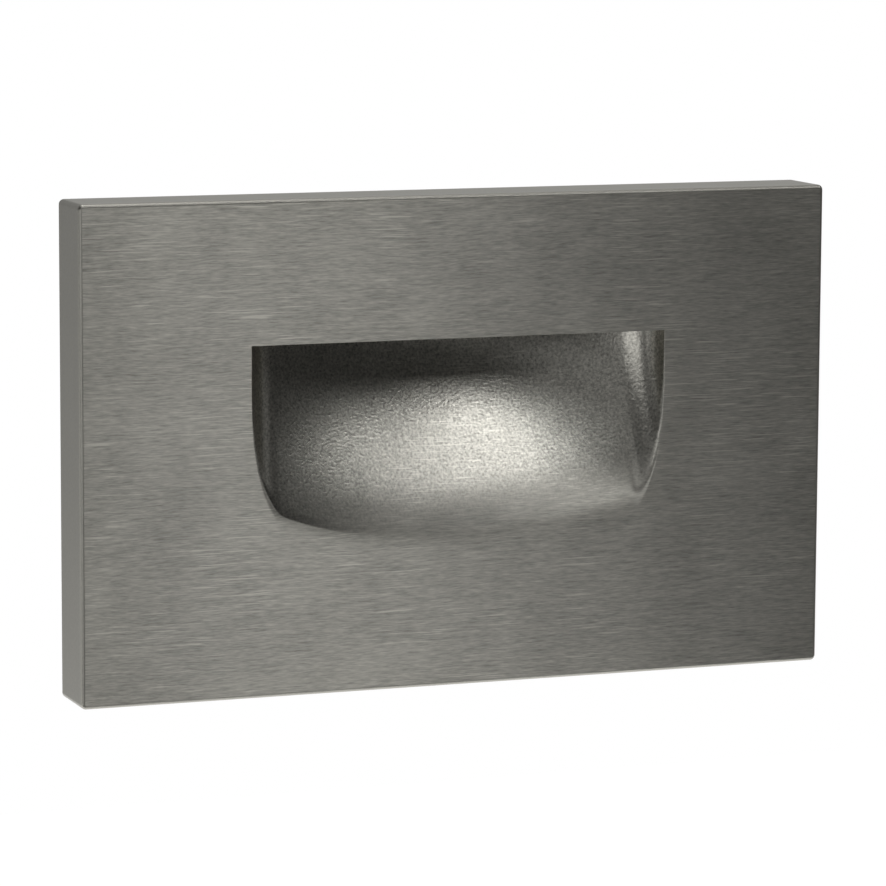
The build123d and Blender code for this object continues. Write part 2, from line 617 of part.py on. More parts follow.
# The winding and its bobbin fill the two windows of the core and stand on the board.
with BuildPart() as transformer_winding:
    with BuildSketch(facing_front(BOARD_Y - 4.5)):
        with Locations(TRANSFORMER_AT):
            Rectangle(8.6, 11.0)
            Rectangle(3.2, 6.0, mode=Mode.SUBTRACT)
    extrude(amount=4.5)
    fillet(transformer_winding.edges().filter_by(Axis.Y).group_by(SortBy.DISTANCE)[-1], 1.2)
    with BuildSketch(facing_front(BOARD_Y)):
        with Locations(TRANSFORMER_AT):
            with GridLocations(1, 8.8, 1, 2):
                Rectangle(8.0, 2.0)
    extrude(amount=4.5)
transformer_winding.part.label = "transformer_winding"
export_step(transformer_winding.part, "parts/transformer_winding.step")


def can(spot, radius, height, bead):
    """A round component that stands on the board, with a rounded top and a drawn-in bead."""
    with BuildPart(facing_front(BOARD_Y)) as body:
        with Locations(spot):
            Cylinder(radius, height, align=UP)
        fillet(body.edges().group_by(Axis.Y)[0], 0.5)
        with BuildSketch(facing_front(BOARD_Y - 1.2)):
            with Locations(spot):
                Circle(radius)
                Circle(radius - bead, mode=Mode.SUBTRACT)
        extrude(amount=0.8, mode=Mode.SUBTRACT)
    return body


bulk_capacitor = can(BULK_CAPACITOR_AT, 5.0, 15.0, 0.35)
bulk_capacitor.part.label = "bulk_capacitor"
export_step(bulk_capacitor.part, "parts/bulk_capacitor.step")

output_capacitor = can(OUTPUT_CAPACITOR_AT, 3.15, 9.0, 0.3)
output_capacitor.part.label = "output_capacitor"
export_step(output_capacitor.part, "parts/output_capacitor.step")

inductor = can(INDUCTOR_AT, 4.0, 7.0, 0.6)
inductor.part.label = "inductor"
export_step(inductor.part, "parts/inductor.step")

fuse = can(FUSE_AT, 4.0, 8.0, 0.2)
fuse.part.label = "fuse"
export_step(fuse.part, "parts/fuse.step")


def block(spot, width, tall, height, chamfer_size):
    """A boxed component that stands on the board, with chamfered top edges."""
    with BuildPart(facing_front(BOARD_Y)) as body:
        with Locations(spot):
            Box(width, tall, height, align=UP)
        chamfer(body.faces().sort_by(Axis.Y)[0].edges(), chamfer_size)
    return body


film_capacitor = block(FILM_CAPACITOR_AT, 13.0, 5.0, 11.0, 0.3)
film_capacitor.part.label = "film_capacitor"
export_step(film_capacitor.part, "parts/film_capacitor.step")

bridge_rectifier = block(RECTIFIER_AT, 8.5, 6.4, 3.3, 0.4)
bridge_rectifier.part.label = "bridge_rectifier"
export_step(bridge_rectifier.part, "parts/bridge_rectifier.step")

driver_chip = block(CHIP_AT, 5.0, 4.0, 1.6, 0.25)
driver_chip.part.label = "driver_chip"
export_step(driver_chip.part, "parts/driver_chip.step")

led_connector = block(LED_CONNECTOR_AT, 4.6, 7.4, 6.0, 0.3)
led_connector.part.label = "led_connector"
export_step(led_connector.part, "parts/led_connector.step")

with BuildPart() as resistors:
    for x, z in RESISTORS_AT:
        with BuildSketch(Plane.YZ.offset(x - 2.6)):
            with Locations((BOARD_Y - 1.3, z)):
                Circle(1.1)
        extrude(amount=5.2)
    fillet(resistors.edges().filter_by(GeomType.CIRCLE), 0.4)
    with BuildSketch(facing_front(BOARD_Y)):
        with Locations(*RESISTORS_AT):
            Rectangle(4.0, 0.7)
    extrude(amount=1.0)
resistors.part.label = "resistors"
export_step(resistors.part, "parts/resistors.step")

# Three poles side by side; screws face the board's front, wire entries face the cable gland.
POLES = [(TERMINAL_AT[0], TERMINAL_AT[1] + pole * TERMINAL_PITCH) for pole in (-1, 0, 1)]
with BuildPart(facing_front(BOARD_Y)) as terminal_block:
    with Locations(TERMINAL_AT):
        Box(TERMINAL_WIDTH, 3 * TERMINAL_PITCH, TERMINAL_HEIGHT, align=UP)
    chamfer(terminal_block.faces().sort_by(Axis.Y)[0].edges().filter_by(Axis.Z), 0.8)
    with BuildSketch(facing_front(BOARD_Y - TERMINAL_HEIGHT)):
        with Locations(*POLES):
            Circle(2.0)
    extrude(amount=-4.0, mode=Mode.SUBTRACT)
    with BuildSketch(Plane.YZ.offset(TERMINAL_AT[0] + TERMINAL_WIDTH / 2)):
        with Locations(*[(BOARD_Y - 3.4, z) for x, z in POLES]):
            Rectangle(3.2, 3.4)
    extrude(amount=-2.5, mode=Mode.SUBTRACT)
terminal_block.part.label = "terminal_block"
export_step(terminal_block.part, "parts/terminal_block.step")

with BuildPart(facing_front(BOARD_Y - TERMINAL_HEIGHT + 4.0)) as terminal_screws:
    with Locations(*POLES):
        Cylinder(1.9, 3.0, align=UP)
    with BuildSketch(facing_front(BOARD_Y - TERMINAL_HEIGHT + 1.0)):
        with Locations(*POLES):
            Rectangle(3.4, 0.6)
    extrude(amount=-0.9, mode=Mode.SUBTRACT)
terminal_screws.part.label = "terminal_screws"
export_step(terminal_screws.part, "parts/terminal_screws.step")


# ---------------------------------------------------------------- LED leads
def lead(pin_z, bend_y, end_x, top_y):
    """One lead: out of the connector, up behind the scoop and forward to the LED board's socket."""
    connector_x = LED_CONNECTOR_AT[0]
    route = [
        (connector_x, BOARD_Y - 6.0, pin_z),
        (connector_x, bend_y, pin_z),
        (end_x - 0.4, top_y + 0.9, 11.5),
        (end_x, top_y, LEAD_END_Z),
        (end_x, STACK_BACK, LEAD_END_Z),
    ]
    points = [Vector(*point) for point in route]
    runs = [after - before for before, after in zip(points, points[1:])]
    radii = []
    for before, after in zip(runs, runs[1:]):
        turn = radians(before.get_angle(after))
        radii.append(0.45 * min(before.length, after.length) / tan(turn / 2))
    print("lead radii", [round(radius, 1) for radius in radii])
    with BuildPart() as tube:
        with BuildLine() as path:
            FilletPolyline(*route, radius=radii)
        with BuildSketch(Plane(origin=route[0], z_dir=runs[0])):
            Circle(LEAD_RADIUS)
        sweep(path=path.line)
    return tube


led_lead_red = lead(LED_CONNECTOR_AT[1] + 1.2, 8.2, LED_SOCKET_X - 1.0, 6.2)
led_lead_red.part.label = "led_lead_red"
export_step(led_lead_red.part, "parts/led_lead_red.step")

led_lead_black = lead(LED_CONNECTOR_AT[1] - 1.2, 5.6, LED_SOCKET_X + 1.0, 3.4)
led_lead_black.part.label = "led_lead_black"
export_step(led_lead_black.part, "parts/led_lead_black.step")

# ---------------------------------------------------------------- bracket
with BuildPart() as mounting_bracket:
    with BuildSketch(Plane.XZ):
        RectangleRounded(BRACKET_WIDTH, BRACKET_HEIGHT - 2 * BRACKET_SHEET, 3.0)
    extrude(amount=BRACKET_SHEET)
    with BuildSketch(Plane.XZ):
        Rectangle(BRACKET_FLANGE_WIDTH, BRACKET_HEIGHT)
        Rectangle(BRACKET_FLANGE_WIDTH, BRACKET_HEIGHT - 2 * BRACKET_SHEET, mode=Mode.SUBTRACT)
    extrude(amount=BRACKET_FLANGE_DEPTH)
    bends = mounting_bracket.edges().filter_by(Axis.X).group_by(Axis.Y)[-1]
    fillet(bends.filter_by(lambda edge: abs(edge.center().Z) > FLANGE_TIP_Z - 0.01), 1.0)
    with BuildSketch(Plane.XZ):
        RectangleRounded(HOUSING_WIDTH + 1.2, HOUSING_HEIGHT + 1.2, 2.5)
        with GridLocations(BOX_SCREW_SPACING, 1, 2, 1):
            SlotOverall(SLOT_LENGTH, SLOT_WIDTH)
        with Locations(GROUND_AT):
            Circle(M4 + HOLE_GAP)
    extrude(amount=BRACKET_SHEET, mode=Mode.SUBTRACT)
mounting_bracket.part.label = "mounting_bracket"
export_step(mounting_bracket.part, "parts/mounting_bracket.step")

with BuildPart() as ground_washer:
    with BuildSketch(facing_front(-BRACKET_SHEET)):
        with Locations(GROUND_AT):
            RegularPolygon(3.9, 12)
            Circle(M4 + HOLE_GAP, mode=Mode.SUBTRACT)
    extrude(amount=0.6)
ground_washer.part.label = "ground_washer"
export_step(ground_washer.part, "parts/ground_washer.step")

ground_screw = fasteners(facing_front(-BRACKET_SHEET - 0.6), [GROUND_AT], M4, 8.0, 3.6, 2.2)
ground_screw.part.label = "ground_screw"
export_step(ground_screw.part, "parts/ground_screw.step")


def lock_screw(x):
    """A socket set screw whose point bears on the bracket's lower flange."""
    point = Plane.XY.offset(-FLANGE_TIP_Z - HOLE_GAP)
    with BuildPart(point) as screw:
        with Locations((x, LOCK_SCREW_Y)):
            Cylinder(M4, LOCK_SCREW_LENGTH, align=DOWN)
        chamfer(screw.edges().group_by(Axis.Z)[-1], 0.5)
        with BuildSketch(point.offset(-LOCK_SCREW_LENGTH)):
            with Locations((x, LOCK_SCREW_Y)):
                RegularPolygon(1.0, 6, major_radius=False)
        extrude(amount=2.0, mode=Mode.SUBTRACT)
    return screw


lock_screw_left = lock_screw(LOCK_SCREW_AT[0])
lock_screw_left.part.label = "lock_screw_left"
export_step(lock_screw_left.part, "parts/lock_screw_left.step")

lock_screw_right = lock_screw(LOCK_SCREW_AT[1])
lock_screw_right.part.label = "lock_screw_right"
export_step(lock_screw_right.part, "parts/lock_screw_right.step")

with BuildPart() as wall_gasket:
    with BuildSketch(Plane.XZ):
        Rectangle(PLATE_WIDTH - 2 * GROOVE_INSET, PLATE_HEIGHT - 2 * GROOVE_INSET)
        Rectangle(PLATE_WIDTH - 2 * inner, PLATE_HEIGHT - 2 * inner, mode=Mode.SUBTRACT)
    extrude(amount=GROOVE_DEPTH)
wall_gasket.part.label = "wall_gasket"
export_step(wall_gasket.part, "parts/wall_gasket.step")
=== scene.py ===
"""Step light: the finish of every piece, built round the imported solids.

Frame: +X to the viewer's right, +Z up, +Y into the wall, in metres. The wall's surface is y = 0.
Sizes of the metalwork are written in millimetres, as in its drawing, and turned to metres by MM.
"""

import json
import math

import bmesh
import bpy
import numpy as np
from bpy.props import FloatProperty, FloatVectorProperty, IntProperty, PointerProperty
from mathutils import Matrix, Vector

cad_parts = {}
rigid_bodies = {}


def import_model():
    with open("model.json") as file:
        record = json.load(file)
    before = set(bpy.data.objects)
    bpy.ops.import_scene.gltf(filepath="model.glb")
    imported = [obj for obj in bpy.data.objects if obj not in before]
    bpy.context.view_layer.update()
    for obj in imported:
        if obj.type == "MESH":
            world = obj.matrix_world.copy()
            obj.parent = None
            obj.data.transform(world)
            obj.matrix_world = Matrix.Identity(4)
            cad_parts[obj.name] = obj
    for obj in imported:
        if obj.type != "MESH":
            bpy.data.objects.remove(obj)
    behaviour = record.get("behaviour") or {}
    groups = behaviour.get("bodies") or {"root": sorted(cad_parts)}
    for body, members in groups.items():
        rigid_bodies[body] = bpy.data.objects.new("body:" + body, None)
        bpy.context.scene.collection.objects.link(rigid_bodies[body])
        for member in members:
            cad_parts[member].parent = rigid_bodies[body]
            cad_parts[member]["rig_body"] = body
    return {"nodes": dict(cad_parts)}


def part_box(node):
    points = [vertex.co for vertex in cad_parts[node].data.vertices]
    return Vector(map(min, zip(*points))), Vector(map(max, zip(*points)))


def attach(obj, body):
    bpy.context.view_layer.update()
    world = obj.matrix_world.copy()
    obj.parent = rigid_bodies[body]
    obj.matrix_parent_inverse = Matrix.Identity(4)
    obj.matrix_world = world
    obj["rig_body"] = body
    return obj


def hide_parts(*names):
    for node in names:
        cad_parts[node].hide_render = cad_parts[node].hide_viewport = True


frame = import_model()
bpy.context.view_layer.update()

bl_info = {
    "name": "Step light",
    "version": (1, 0, 0),
    "blender": (4, 5, 0),
    "location": "3D View > Sidebar > Step light",
    "description": "Builds the finished step light round its packed solids",
    "category": "Add Mesh",
}

MM = 0.001
FIXTURE = "fixture"
# Points closer than MERGE, in millimetres, are one point; a point this NEAR a plane lies on it.
MERGE = 0.001
NEAR = 0.002
# Faces that meet at less than FLAT are one; an edge past ROUNDED gets its bevel, one past SHARP a crease.
FLAT, ROUNDED, SHARP = [math.radians(angle) for angle in (1, 35, 40)]
# A normal with more than STRAIGHT of an axis lies along it, and with more than TURNED faces its way.
STRAIGHT, TURNED = 0.999, 0.5
# A noise seldom leaves these limits.
NOISE_LOW, NOISE_HIGH = 0.3, 0.7

# Faceplate and scoop, in millimetres. The narrow sides' finish reaches PLATE_EDGE round the edges.
# The scoop's floor starts SCOOP_LIFT in front of the plate and sags by a bow and a share of its depth.
# PACKED_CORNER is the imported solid's own, and serves only to tell which packed faces are the scoop's.
PLATE_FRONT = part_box("faceplate")[0].y / MM
PLATE_EDGE = 0.62
SCOOP_RUNOUT = -21.3
SCOOP_LIFT = 0.6
SCOOP_BOW = 1.3
SCOOP_BOW_SHARE = 0.5
SCOOP_DRAFT = math.radians(14.0)
PACKED_CORNER = 5.5
SCOOP_ROWS = 130
SCOOP_COLUMNS = 181
ROW_CROWDING = 1.6
LIP_STEPS = 7
FACE, SCOOP, SIDE, INSIDE = range(4)

# Finish of the steel, in millimetres. The blasting fades out between two heights, which drop
# to the viewer's left by the tilt.
BLAST_FADE = (-15.0, -4.0)
BLAST_TILT = 0.12
# Length and width of the belt's hairlines and scratches, coarser than real ones so that they show.
HAIRLINES = ((1.9, 0.19), (6.5, 0.4))
SCRATCHES = (8.0, 0.17)
# Size, reach and detail of the bends in the hairlines.
HAIRLINE_BENDS = (24.0, 1.2, 1.0)
GRIT = 0.42
# Soft clouds in the tone, and the patches in which the scratches lie. The levels are those of the
# noise at which a scratch, or a patch of them, begins and is full.
CLOUD = 11.0
SCRATCHED_PATCH = 18.0
SCRATCH_LEVELS = (0.64, 0.78)
PATCH_LEVELS = (0.42, 0.62)

# The photograph's camera, from a fit to the plate's corners. Lengths in millimetres.
PICTURE_SIDE = 886
FOCAL_PIXELS = 4397.0
CAMERA_YAW = math.radians(20.79)
CAMERA_PITCH = math.radians(8.01)
CAMERA_ROLL = math.radians(0.27)
CAMERA_DISTANCE = 715.7
CAMERA_ASIDE = -0.93
CAMERA_ABOVE = 1.71
SENSOR_WIDTH = 36.0

# Soft lamps: name, azimuth, elevation, width and height in degrees, and brightness.
LAMPS = (
    ("above_left", -8, 39, 16, 10, 2.4),
    ("above_right", 20, 39, 9, 10, 5.6),
    ("far_right", 49, 39, 14, 10, 5.0),
    ("overhead", 10, 82, 30, 30, 2.6),
    ("low", 27, -43, 10, 14, 3.8),
    ("front_above", -5, 12, 16, 16, 0.3),
    ("front_below", 14, -15, 12, 16, 0.7),
    ("left_front", -38, -4, 40, 20, 1.2),
    ("left_back", -90, -12, 40, 24, 0.4),
    ("right", 80, 15, 24, 26, 0.15),
    ("behind_right", 150, 35, 40, 30, 0.4),
)
# Distances of the studio, in metres.
LAMP_DISTANCE = 1.2
FLOOR_LEVEL = -1.0
FLOOR_FRONT = -0.6
FLOOR_REACH = 4.0
# Brightness of the room in front, and of the background as the metal and glass show it. The
# background is full where a ray's direction has this much of +Y.
ROOM_GLOW = 0.03
BACKGROUND_GLOSS = 0.3
BACKGROUND_FULL = 0.6

# Points round one ring of an LED, of the gland's seal and of the foam; then along one rib of the
# seal, round its back, and across the foam's crown.
LED_RING, SEAL_RING, FOAM_RING = 48, 72, 96
RIB_POINTS, BACK_POINTS, CROWN_POINTS = 12, 8, 13

# Sockets of the Mix node in its colour mode.
MIX_A, MIX_B, MIX_OUT = 6, 7, 2


# -------- settings in the sidebar
def length_property(name, description, size):
    """A length in the sidebar, with its default in millimetres."""
    return FloatProperty(name=name, description=description, default=size * MM, unit="LENGTH")


def colour_property(name, description, code):
    """A colour in the sidebar, with its default as a hex code."""
    return FloatVectorProperty(
        name=name, description=description, default=linear(code), subtype="COLOR", size=4, min=0, max=1
    )


# -------- colour and nodes
def linear(code):
    """An sRGB hex colour as linear red, green, blue and an alpha of 1."""
    shares = [int(code[i : i + 2], 16) / 255 for i in (1, 3, 5)]
    return (*[s / 12.92 if s <= 0.04045 else ((s + 0.055) / 1.055) ** 2.4 for s in shares], 1.0)


def chosen(name):
    """A colour as it is set in the sidebar."""
    return getattr(bpy.context.scene.steplight_finish, name)


def per_metre(size):
    """The texture scale whose features are this many millimetres across."""
    return 1 / (size * MM)


def add_node(tree, kind, inputs=None, **settings):
    """Adds a shader node; an input is a constant, a socket to read, or a node for its first output."""
    node = tree.nodes.new("ShaderNode" + kind)
    for name, value in settings.items():
        setattr(node, name, value)
    for name, value in (inputs or {}).items():
        if isinstance(value, bpy.types.Node):
            value = value.outputs[0]
        if isinstance(value, bpy.types.NodeSocket):
            tree.links.new(value, node.inputs[name])
        else:
            node.inputs[name].default_value = value
    return node


def start_material(name):
    """An empty material and its tree."""
    material = bpy.data.materials.new(name)
    material.use_nodes = True
    material.node_tree.nodes.clear()
    return material, material.node_tree


# The materials made so far, by name.
MADE = {}


def finish(make):
    """The material of a function that gives its surface's inputs, made once for all its pieces."""
    name = make.__name__
    if name not in MADE:
        MADE[name], tree = start_material(name)
        place = add_node(tree, "TexCoord").outputs["Object"]
        surface = add_node(tree, "BsdfPrincipled", make(tree, place))
        add_node(tree, "OutputMaterial", {"Surface": surface})
    return MADE[name]


def toned(tree, factor, colour, spread, low=NOISE_LOW, high=NOISE_HIGH):
    """A colour that is darker by the spread where the factor is low and lighter where it is high."""
    ramp = add_node(tree, "ValToRGB", {"Fac": factor})
    for stop, place, gain in zip(ramp.color_ramp.elements, (low, high), (1 - spread, 1 + spread)):
        stop.position = place
        stop.color = (*[min(share * gain, 1) for share in tuple(colour)[:3]], 1)
    return ramp


def bent(tree, place, size, reach, detail):
    """Coordinates that wander by the reach in bends of the given size, both in millimetres."""
    bends = {"Vector": place, "Scale": per_metre(size), "Detail": detail}
    wander = add_node(tree, "TexNoise", bends).outputs["Color"]
    moved = add_node(tree, "VectorMath", {0: wander, "Scale": reach * MM}, operation="SCALE")
    return add_node(tree, "VectorMath", {0: place, 1: moved}, operation="ADD")


def drawn_noise(tree, place, length, width, detail=2.0, roughness=0.6):
    """Noise drawn out along X, whose streaks are this long and wide in millimetres."""
    drawn = (per_metre(length), per_metre(width), per_metre(width))
    along = add_node(tree, "VectorMath", {0: place, 1: drawn}, operation="MULTIPLY")
    streaks = {"Vector": along, "Scale": 1.0, "Detail": detail, "Roughness": roughness}
    return add_node(tree, "TexNoise", streaks)


# -------- steel of the faceplate
def steel_relief(tree, place, blasted):
    """Heights of the steel's finish: hairlines of a belt where blasted is 0, grit marks where it is 1."""
    wandering = bent(tree, place, *HAIRLINE_BENDS)
    fine, coarse = [drawn_noise(tree, wandering, *size) for size in HAIRLINES]
    lines = add_node(tree, "Mix", {"Factor": 0.35, "A": fine, "B": coarse})
    speckle = {"Vector": place, "Scale": per_metre(GRIT), "Detail": 1.5, "Roughness": 0.6}
    return add_node(tree, "Mix", {"Factor": blasted, "A": lines, "B": add_node(tree, "TexNoise", speckle)})


def steel_shade(tree, place, relief):
    """How light the steel is: its relief, soft clouds, and bright scratches that lie in patches."""
    cloud = add_node(tree, "TexNoise", {"Vector": place, "Scale": per_metre(CLOUD), "Detail": 4.0})
    patch = add_node(tree, "TexNoise", {"Vector": place, "Scale": per_metre(SCRATCHED_PATCH)})
    line = drawn_noise(tree, place, *SCRATCHES, detail=0.0)
    scratch, scratched = [
        add_node(
            tree,
            "MapRange",
            {"Value": value, "From Min": start, "From Max": end},
            interpolation_type="SMOOTHSTEP",
        )
        for value, (start, end) in ((line, SCRATCH_LEVELS), (patch, PATCH_LEVELS))
    ]
    marks = add_node(tree, "Math", {0: scratch, 1: scratched}, operation="MULTIPLY")
    even = add_node(tree, "Mix", {"Factor": 0.22, "A": relief, "B": cloud})
    return add_node(tree, "Math", {0: marks, 1: 0.3, 2: even}, operation="MULTIPLY_ADD")


def steel(tree, place, blasted, deep, rough, drawn, spread):
    """Stainless steel, belt-linished where blasted is 0 and bead-blasted where it is 1.

    Its finish is this deep, rough and drawn out, and its tone varies by the spread.
    """
    relief = steel_relief(tree, place, blasted)
    return {
        "Base Color": toned(tree, steel_shade(tree, place, relief), chosen("steel"), spread),
        "Metallic": 1.0,
        "Roughness": rough,
        "Anisotropic": drawn,
        "Tangent": add_node(tree, "Tangent", direction_type="UV_MAP", uv_map="belt"),
        "Normal": add_node(tree, "Bump", {"Distance": deep, "Height": relief}),
    }


def linished_stainless(tree, place):
    """Stainless steel drawn over a fine belt: a soft sheen that spreads across its hairlines."""
    return steel(tree, place, 0.0, 0.006 * MM, 0.34, 0.97, 0.42)


def blasted_stainless(tree, place):
    """Stainless steel, bead-blasted to a fine sparkle that gives way to hairlines at the run-out."""
    tilt = {0: place, 1: (-BLAST_TILT, 0, 1)}
    height = add_node(tree, "VectorMath", tilt, operation="DOT_PRODUCT").outputs["Value"]
    fade = {"Value": height, "From Min": BLAST_FADE[0] * MM, "From Max": BLAST_FADE[1] * MM}
    blasted = add_node(tree, "MapRange", fade, interpolation_type="SMOOTHSTEP")
    deep, rough, drawn = [
        add_node(
            tree,
            "MapRange",
            {"Value": blasted, "To Min": of_lines, "To Max": of_grit},
            interpolation_type="SMOOTHSTEP",
        )
        for of_lines, of_grit in ((0.006 * MM, 0.026 * MM), (0.34, 0.28), (0.97, 0.0))
    ]
    return steel(tree, place, blasted, deep, rough, drawn, 0.42)


def satin_stainless(tree, place):
    """Stainless steel on the plate's narrow sides, tumbled to an even satin."""
    return steel(tree, place, 1.0, 0.004 * MM, 0.42, 0.0, 0.06)


def cast_stainless(tree, place):
    """Stainless steel as it leaves its mould, dull and slightly pebbled."""
    return steel(tree, place, 1.0, 0.06 * MM, 0.55, 0.0, 0.1)


# In the order of FACE, SCOOP, SIDE and INSIDE.
STEEL_FINISHES = (linished_stainless, blasted_stainless, satin_stainless, cast_stainless)


# -------- finishes of the pieces behind
def grained(tree, place, colour, grain, relief, roughness, spread, scatter=0.06, **surface):
    """A surface of even grain: tone, roughness and height follow one noise, its size and depth in mm."""
    noise = add_node(tree, "TexNoise", {"Vector": place, "Scale": per_metre(grain), "Detail": 3.0})
    follow = {"Value": noise, "From Min": NOISE_LOW, "From Max": NOISE_HIGH}
    follow |= {"To Min": roughness - scatter, "To Max": roughness + scatter}
    surface["Base Color"] = toned(tree, noise, colour, spread)
    surface["Roughness"] = add_node(tree, "MapRange", follow)
    if relief:
        surface["Normal"] = add_node(tree, "Bump", {"Distance": relief * MM, "Height": noise})
    return surface


def powder_coat(tree, place):
    """Dark polyester powder on die-cast aluminium: orange peel a millimetre across, and fine specks."""
    peel = add_node(tree, "TexNoise", {"Vector": place, "Scale": per_metre(1.3), "Detail": 0.5})
    speck = add_node(tree, "TexNoise", {"Vector": place, "Scale": per_metre(0.3), "Detail": 2.0})
    height = add_node(tree, "Mix", {"Factor": 0.35, "A": peel, "B": speck})
    return {
        "Base Color": toned(tree, speck, chosen("coat"), 0.22),
        "Roughness": add_node(tree, "MapRange", {"Value": speck, "To Min": 0.36, "To Max": 0.62}),
        "Normal": add_node(tree, "Bump", {"Distance": 0.09 * MM, "Height": height}),
    }


def galvanised_sheet(tree, place):
    """Hot-dip galvanised steel: crystals about five millimetres across that catch the light in turn."""
    cells = {"Vector": bent(tree, place, 3.0, 2.5, 2.0), "Scale": per_metre(5.0)}
    crystal = add_node(tree, "TexVoronoi", cells).outputs["Color"]
    facet = add_node(tree, "SeparateColor", {"Color": crystal})
    feather = add_node(tree, "TexNoise", {"Vector": place, "Scale": per_metre(0.5), "Detail": 2.0})
    shade = add_node(tree, "Mix", {"Factor": 0.3, "A": facet, "B": feather})
    return {
        "Base Color": toned(tree, shade, chosen("zinc"), 0.16, 0.1, 0.9),
        "Metallic": 1.0,
        "Roughness": add_node(tree, "MapRange", {"Value": shade, "To Min": 0.34, "To Max": 0.56}),
        "Normal": add_node(tree, "Bump", {"Distance": 0.012 * MM, "Height": shade}),
    }


def zinc_plate(tree, place):
    """Bright zinc on steel screws: a thin cool metal with fine handling marks."""
    return grained(tree, place, chosen("zinc"), 0.5, 0.006, 0.3, 0.12, Metallic=1.0)


def black_oxide(tree, place):
    """Blackened steel set screws, oiled, so the edges shine."""
    return grained(tree, place, linear("#3B3B3D"), 0.4, 0.006, 0.38, 0.15, Metallic=1.0)


def green_plate(tree, place):
    """Green dyed plating, which marks the earth screw."""
    return grained(tree, place, linear("#2E8B57"), 0.6, 0.006, 0.34, 0.15, Metallic=0.5)


def turned_brass(tree, place):
    """Bright brass, turned on a bar lathe."""
    return grained(tree, place, linear("#D6B36A"), 0.4, 0.005, 0.24, 0.1, Metallic=1.0)


def rolled_aluminium(tree, place):
    """Mill-finish aluminium sheet with faint roll lines along its length."""
    lines = drawn_noise(tree, place, 12.0, 0.3, roughness=0.5)
    return {
        "Base Color": toned(tree, lines, linear("#C9CBCC"), 0.1),
        "Metallic": 1.0,
        "Roughness": 0.33,
        "Normal": add_node(tree, "Bump", {"Distance": 0.006 * MM, "Height": lines}),
    }


def moulded_nylon(tree, place):
    """Glass-filled black nylon, spark-eroded in its mould to a fine matt grain."""
    return grained(tree, place, chosen("nylon"), 0.28, 0.03, 0.48, 0.3, 0.08)


def moulded_rubber(tree, place):
    """Black nitrile rubber, dull, with a trace of bloom."""
    return grained(tree, place, linear("#242425"), 0.5, 0.02, 0.72, 0.25)


def soft_silicone(tree, place):
    """Grey silicone: smooth, a little waxy."""
    return grained(tree, place, chosen("seal"), 0.8, 0.012, 0.42, 0.1)


def closed_cell_foam(tree, place):
    """Black closed-cell foam: cut cells about half a millimetre across, fully matt."""
    cells = add_node(tree, "TexVoronoi", {"Vector": place, "Scale": per_metre(0.5)})
    return {
        "Base Color": toned(tree, cells, linear("#2A2A2B"), 0.35, 0.1, 0.7),
        "Roughness": 0.94,
        "Normal": add_node(tree, "Bump", {"Distance": 0.14 * MM, "Height": cells}, invert=True),
    }


def clear_glass(tree, place):
    """Tempered soda-lime glass, polished, with a trace of green in its depth."""
    clear = {"Transmission Weight": 1.0, "IOR": 1.52}
    return grained(tree, place, linear("#F2FAF6"), 8.0, 0.0, 0.04, 0.01, 0.02, **clear)


def white_polycarbonate(tree, place):
    """Reflective white polycarbonate, moulded glossy."""
    return grained(tree, place, linear("#EDECE7"), 0.6, 0.006, 0.28, 0.03)


def white_solder_mask(tree, place):
    """White solder mask on an aluminium board, slightly uneven over its copper."""
    return grained(tree, place, linear("#EFEFEB"), 2.4, 0.02, 0.36, 0.04)


def yellow_phosphor(tree, place):
    """Phosphor in clear silicone over the chip: a deep yellow with a soft shine."""
    return grained(tree, place, linear("#E9C238"), 0.2, 0.012, 0.34, 0.14)


def thermal_silicone(tree, place):
    """Filled silicone pad, blue-grey and chalky."""
    return grained(tree, place, linear("#8696A4"), 0.3, 0.03, 0.82, 0.12)


def white_nylon(tree, place):
    """Natural white nylon of the connectors, slightly milky."""
    return grained(tree, place, linear("#E8E4D8"), 0.5, 0.01, 0.4, 0.05)


def green_polyamide(tree, place):
    """Green polyamide of the terminal block."""
    return grained(tree, place, linear("#238A50"), 0.4, 0.012, 0.42, 0.1)


def board_laminate(tree, place):
    """Green solder mask over glass laminate; its tracks stand a little proud and paler."""
    pads = {"Brick Width": 1.7, "Row Height": 0.5, "Mortar Size": 0.07, "Mortar Smooth": 0.3}
    pads["Vector"] = add_node(tree, "Mapping", {"Vector": place, "Rotation": (math.pi / 2, 0, 0)})
    pads["Scale"] = per_metre(4.0)
    tracks = add_node(tree, "TexBrick", pads).outputs["Fac"]
    return {
        "Base Color": toned(tree, tracks, linear("#12603A"), 0.35, 0.2, 0.8),
        "Roughness": 0.3,
        "Normal": add_node(tree, "Bump", {"Distance": 0.04 * MM, "Height": tracks}),
    }


def polyester_film(tree, place):
    """Milky polyester insulating film."""
    return grained(tree, place, linear("#D8DAD2"), 3.0, 0.006, 0.24, 0.04)


def sintered_ferrite(tree, place):
    """Sintered ferrite: dark grey-brown and sandy."""
    return grained(tree, place, linear("#3A3633"), 0.25, 0.03, 0.66, 0.25)


def wound_tape(tree, place):
    """Yellow polyester tape, nineteen millimetres wide, wound in overlapping turns."""
    width = 18.85
    # At a scale of 1 the wave comes back every tenth of pi.
    bands = {"Vector": place, "Scale": math.pi / 10 * per_metre(width), "Distortion": 0.6}
    wave = add_node(tree, "TexWave", bands, bands_direction="Y", wave_profile="SAW")
    turns = wave.outputs["Fac"]
    return {
        "Base Color": toned(tree, turns, linear("#DDB02B"), 0.16, 0.0, 1.0),
        "Roughness": 0.3,
        "Normal": add_node(tree, "Bump", {"Distance": 0.05 * MM, "Height": turns}),
    }


def shrunk_sleeve(tree, place):
    """Dark shrink sleeve round an aluminium can, drawn tight and glossy."""
    return grained(tree, place, linear("#1B2233"), 1.6, 0.01, 0.24, 0.2)


